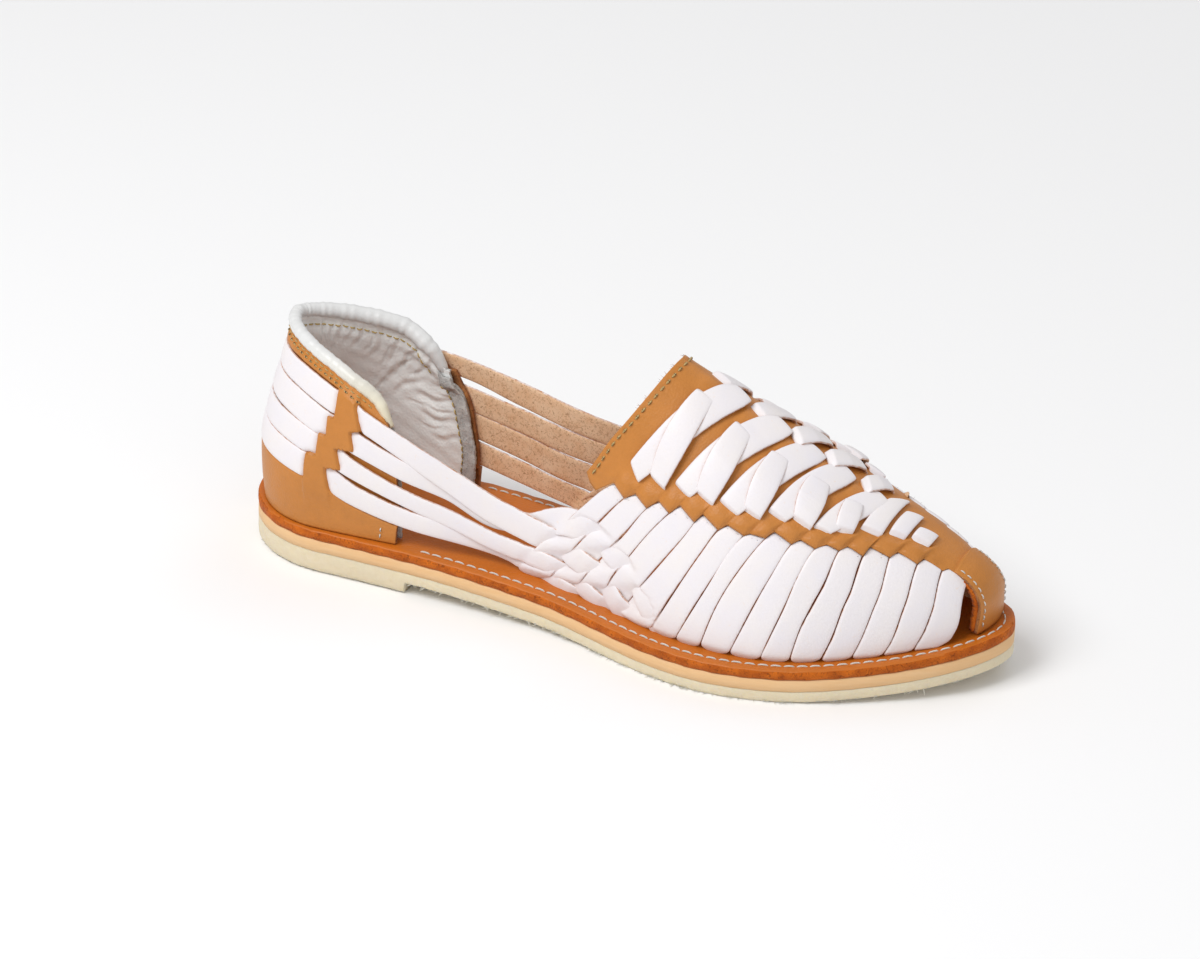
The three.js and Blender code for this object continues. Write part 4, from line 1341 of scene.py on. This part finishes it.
def throatLine(inward, rise):
    def line(u):
        s = -0.985 + 1.97 * u
        base = float(panelGirth(120.0)) + 3.5 * smooth((np.abs(s) - 0.7) / 0.3)
        place = 119.8 + 21.2 * (1 - np.abs(s) ** 1.35) + inward * (0.75 + 0.25 * (1 - np.abs(s)))
        girth = s * (base - inward * 0.35)
        return proud(vampForm, place, girth, rise + 0 * s), outward(vampForm, place, girth)
    return line


def tabLine(side, share, rise):
    def line(u):
        row = 0.15 + 3.7 * u
        across = side * share + 0 * u
        return proud(tabForm, row, across, rise + 0 * u), outward(tabForm, row, across)
    return line


def makeVampStitches():
    gold, dark, pale = newMesh(), newMesh(), newMesh()
    stitchRow(gold, throatLine(1.9, 0.25), 2.0, 0.9, 0.3)
    stitchRow(dark, throatLine(1.9, 0.15), 0.8, 2.1, 0.36)
    for side in (-1, 1):
        stitchRow(pale, tabLine(side, 0.84, 0.15), 1.7, 0.8, 0.22)
    piece("throat_stitches", gold, [goldThread])
    piece("throat_stitches_dark", dark, [darkThread])
    piece("tab_stitches", pale, [whiteThread])


def makeFibres():  # stray fibres along the cut edges
    bm = newMesh()
    spots = []
    for _ in range(70):
        place, _ = throatLine(-0.05, -0.3)(np.array([random.uniform(0.02, 0.98)]))
        spots.append((place[0], (-1, random.uniform(-0.6, 0.6), random.uniform(0, 1)), 0))
    for side in (-1, 1):
        for index in range(15):
            left, right = loopEdges(index, side)
            for _ in range(3):
                u = np.array([random.uniform(0.06, 0.12)])
                share = random.random()
                p = left(u) * (1 - share) + right(u) * share
                place = proud(vampForm, p[:, 0], p[:, 1], np.array([-0.2]))
                lean = (random.uniform(-0.8, 0.8), side * random.uniform(0.2, 0.9), random.uniform(0.1, 0.9))
                spots.append((place[0], lean, 1))
    for place, lean, material in spots:
        size = random.uniform(0.5, 1.3) if material == 0 else random.uniform(0.7, 1.7)
        first = len(bm.faces)
        addShred(bm, place, lean, size, 2500, 3, (0.00006, 0.00002))
        bm.faces.ensure_lookup_table()
        for face in bm.faces[first:]:
            face.material_index = material
    piece("loose_fibres", bm, [rawTan, darkThread])


makeLoops()
makePanel()
makeTabBacking()
makeOverlays()
makeVampStitches()
makeFibres()
print("vamp made")

# The floor's color, the lamps' powers in watts, and the sky's strength
stageLook = {"floor": (0.92, 0.92, 0.925), "key": 14.5, "fill": 2.4, "back": 2.6, "sky": 0.5}


def makeFloor():
    bm = bmesh.new()
    bmesh.ops.create_grid(bm, x_segments=1, y_segments=1, size=6)
    mesh = bpy.data.meshes.new("studio_floor")
    bm.to_mesh(mesh)
    bm.free()
    floor = addObject("studio_floor", mesh)
    material = bpy.data.materials.new("floorWhite")
    material.use_nodes = True
    shader = material.node_tree.nodes["Principled BSDF"]
    shader.inputs["Base Color"].default_value = (*stageLook["floor"], 1)
    shader.inputs["Roughness"].default_value = 0.9
    mesh.materials.append(material)


def makeLight(name, power, size, place, aim):
    data = bpy.data.lights.new(name, "AREA")
    data.energy, data.size = power, size
    light = addObject(name, data)
    light.location = place
    light.rotation_euler = (Vector(aim) - Vector(place)).to_track_quat("-Z", "Y").to_euler()


makeFloor()
makeLight("key", stageLook["key"], 0.8, (-0.45, -0.75, 1.25), (0, 0, 0.04))
makeLight("fill", stageLook["fill"], 1.2, (1.0, -0.9, 0.8), (0, 0, 0.04))
makeLight("back", stageLook["back"], 1.0, (0.3, 1.1, 1.2), (0, 0, 0.04))
world = bpy.data.worlds.new("studio")
bpy.context.scene.world = world
world.use_nodes = True
world.node_tree.nodes["Background"].inputs["Color"].default_value = (1, 1, 1, 1)
world.node_tree.nodes["Background"].inputs["Strength"].default_value = stageLook["sky"]

cameraPlace = {"azimuth": 23.294, "elevation": 28.402, "roll": 1.313, "distance": 2.501, "lens": 243.3,
               "aim": (-0.00553, -0.01232, 0.04655)}


def makeCamera():
    data = bpy.data.cameras.new("camera")
    data.lens, data.sensor_width = cameraPlace["lens"], 36
    data.clip_start, data.clip_end = 0.1, 20
    camera = addObject("camera", data)
    a, e = math.radians(cameraPlace["azimuth"]), math.radians(cameraPlace["elevation"])
    back = Vector((math.cos(e) * math.sin(a), -math.cos(e) * math.cos(a), math.sin(e)))
    right = (-back).cross(Vector((0, 0, 1))).normalized()
    up = right.cross(-back)
    roll = math.radians(cameraPlace["roll"])
    tilted = right * math.cos(roll) + up * math.sin(roll)
    top = up * math.cos(roll) - right * math.sin(roll)
    turn = Matrix((tilted, top, back)).transposed().to_4x4()
    spot = Vector(cameraPlace["aim"]) + back * cameraPlace["distance"]
    camera.matrix_world = Matrix.Translation(spot) @ turn
    bpy.context.scene.camera = camera


makeCamera()
bpy.context.scene.view_settings.view_transform = "Standard"
print("camera and lights made")
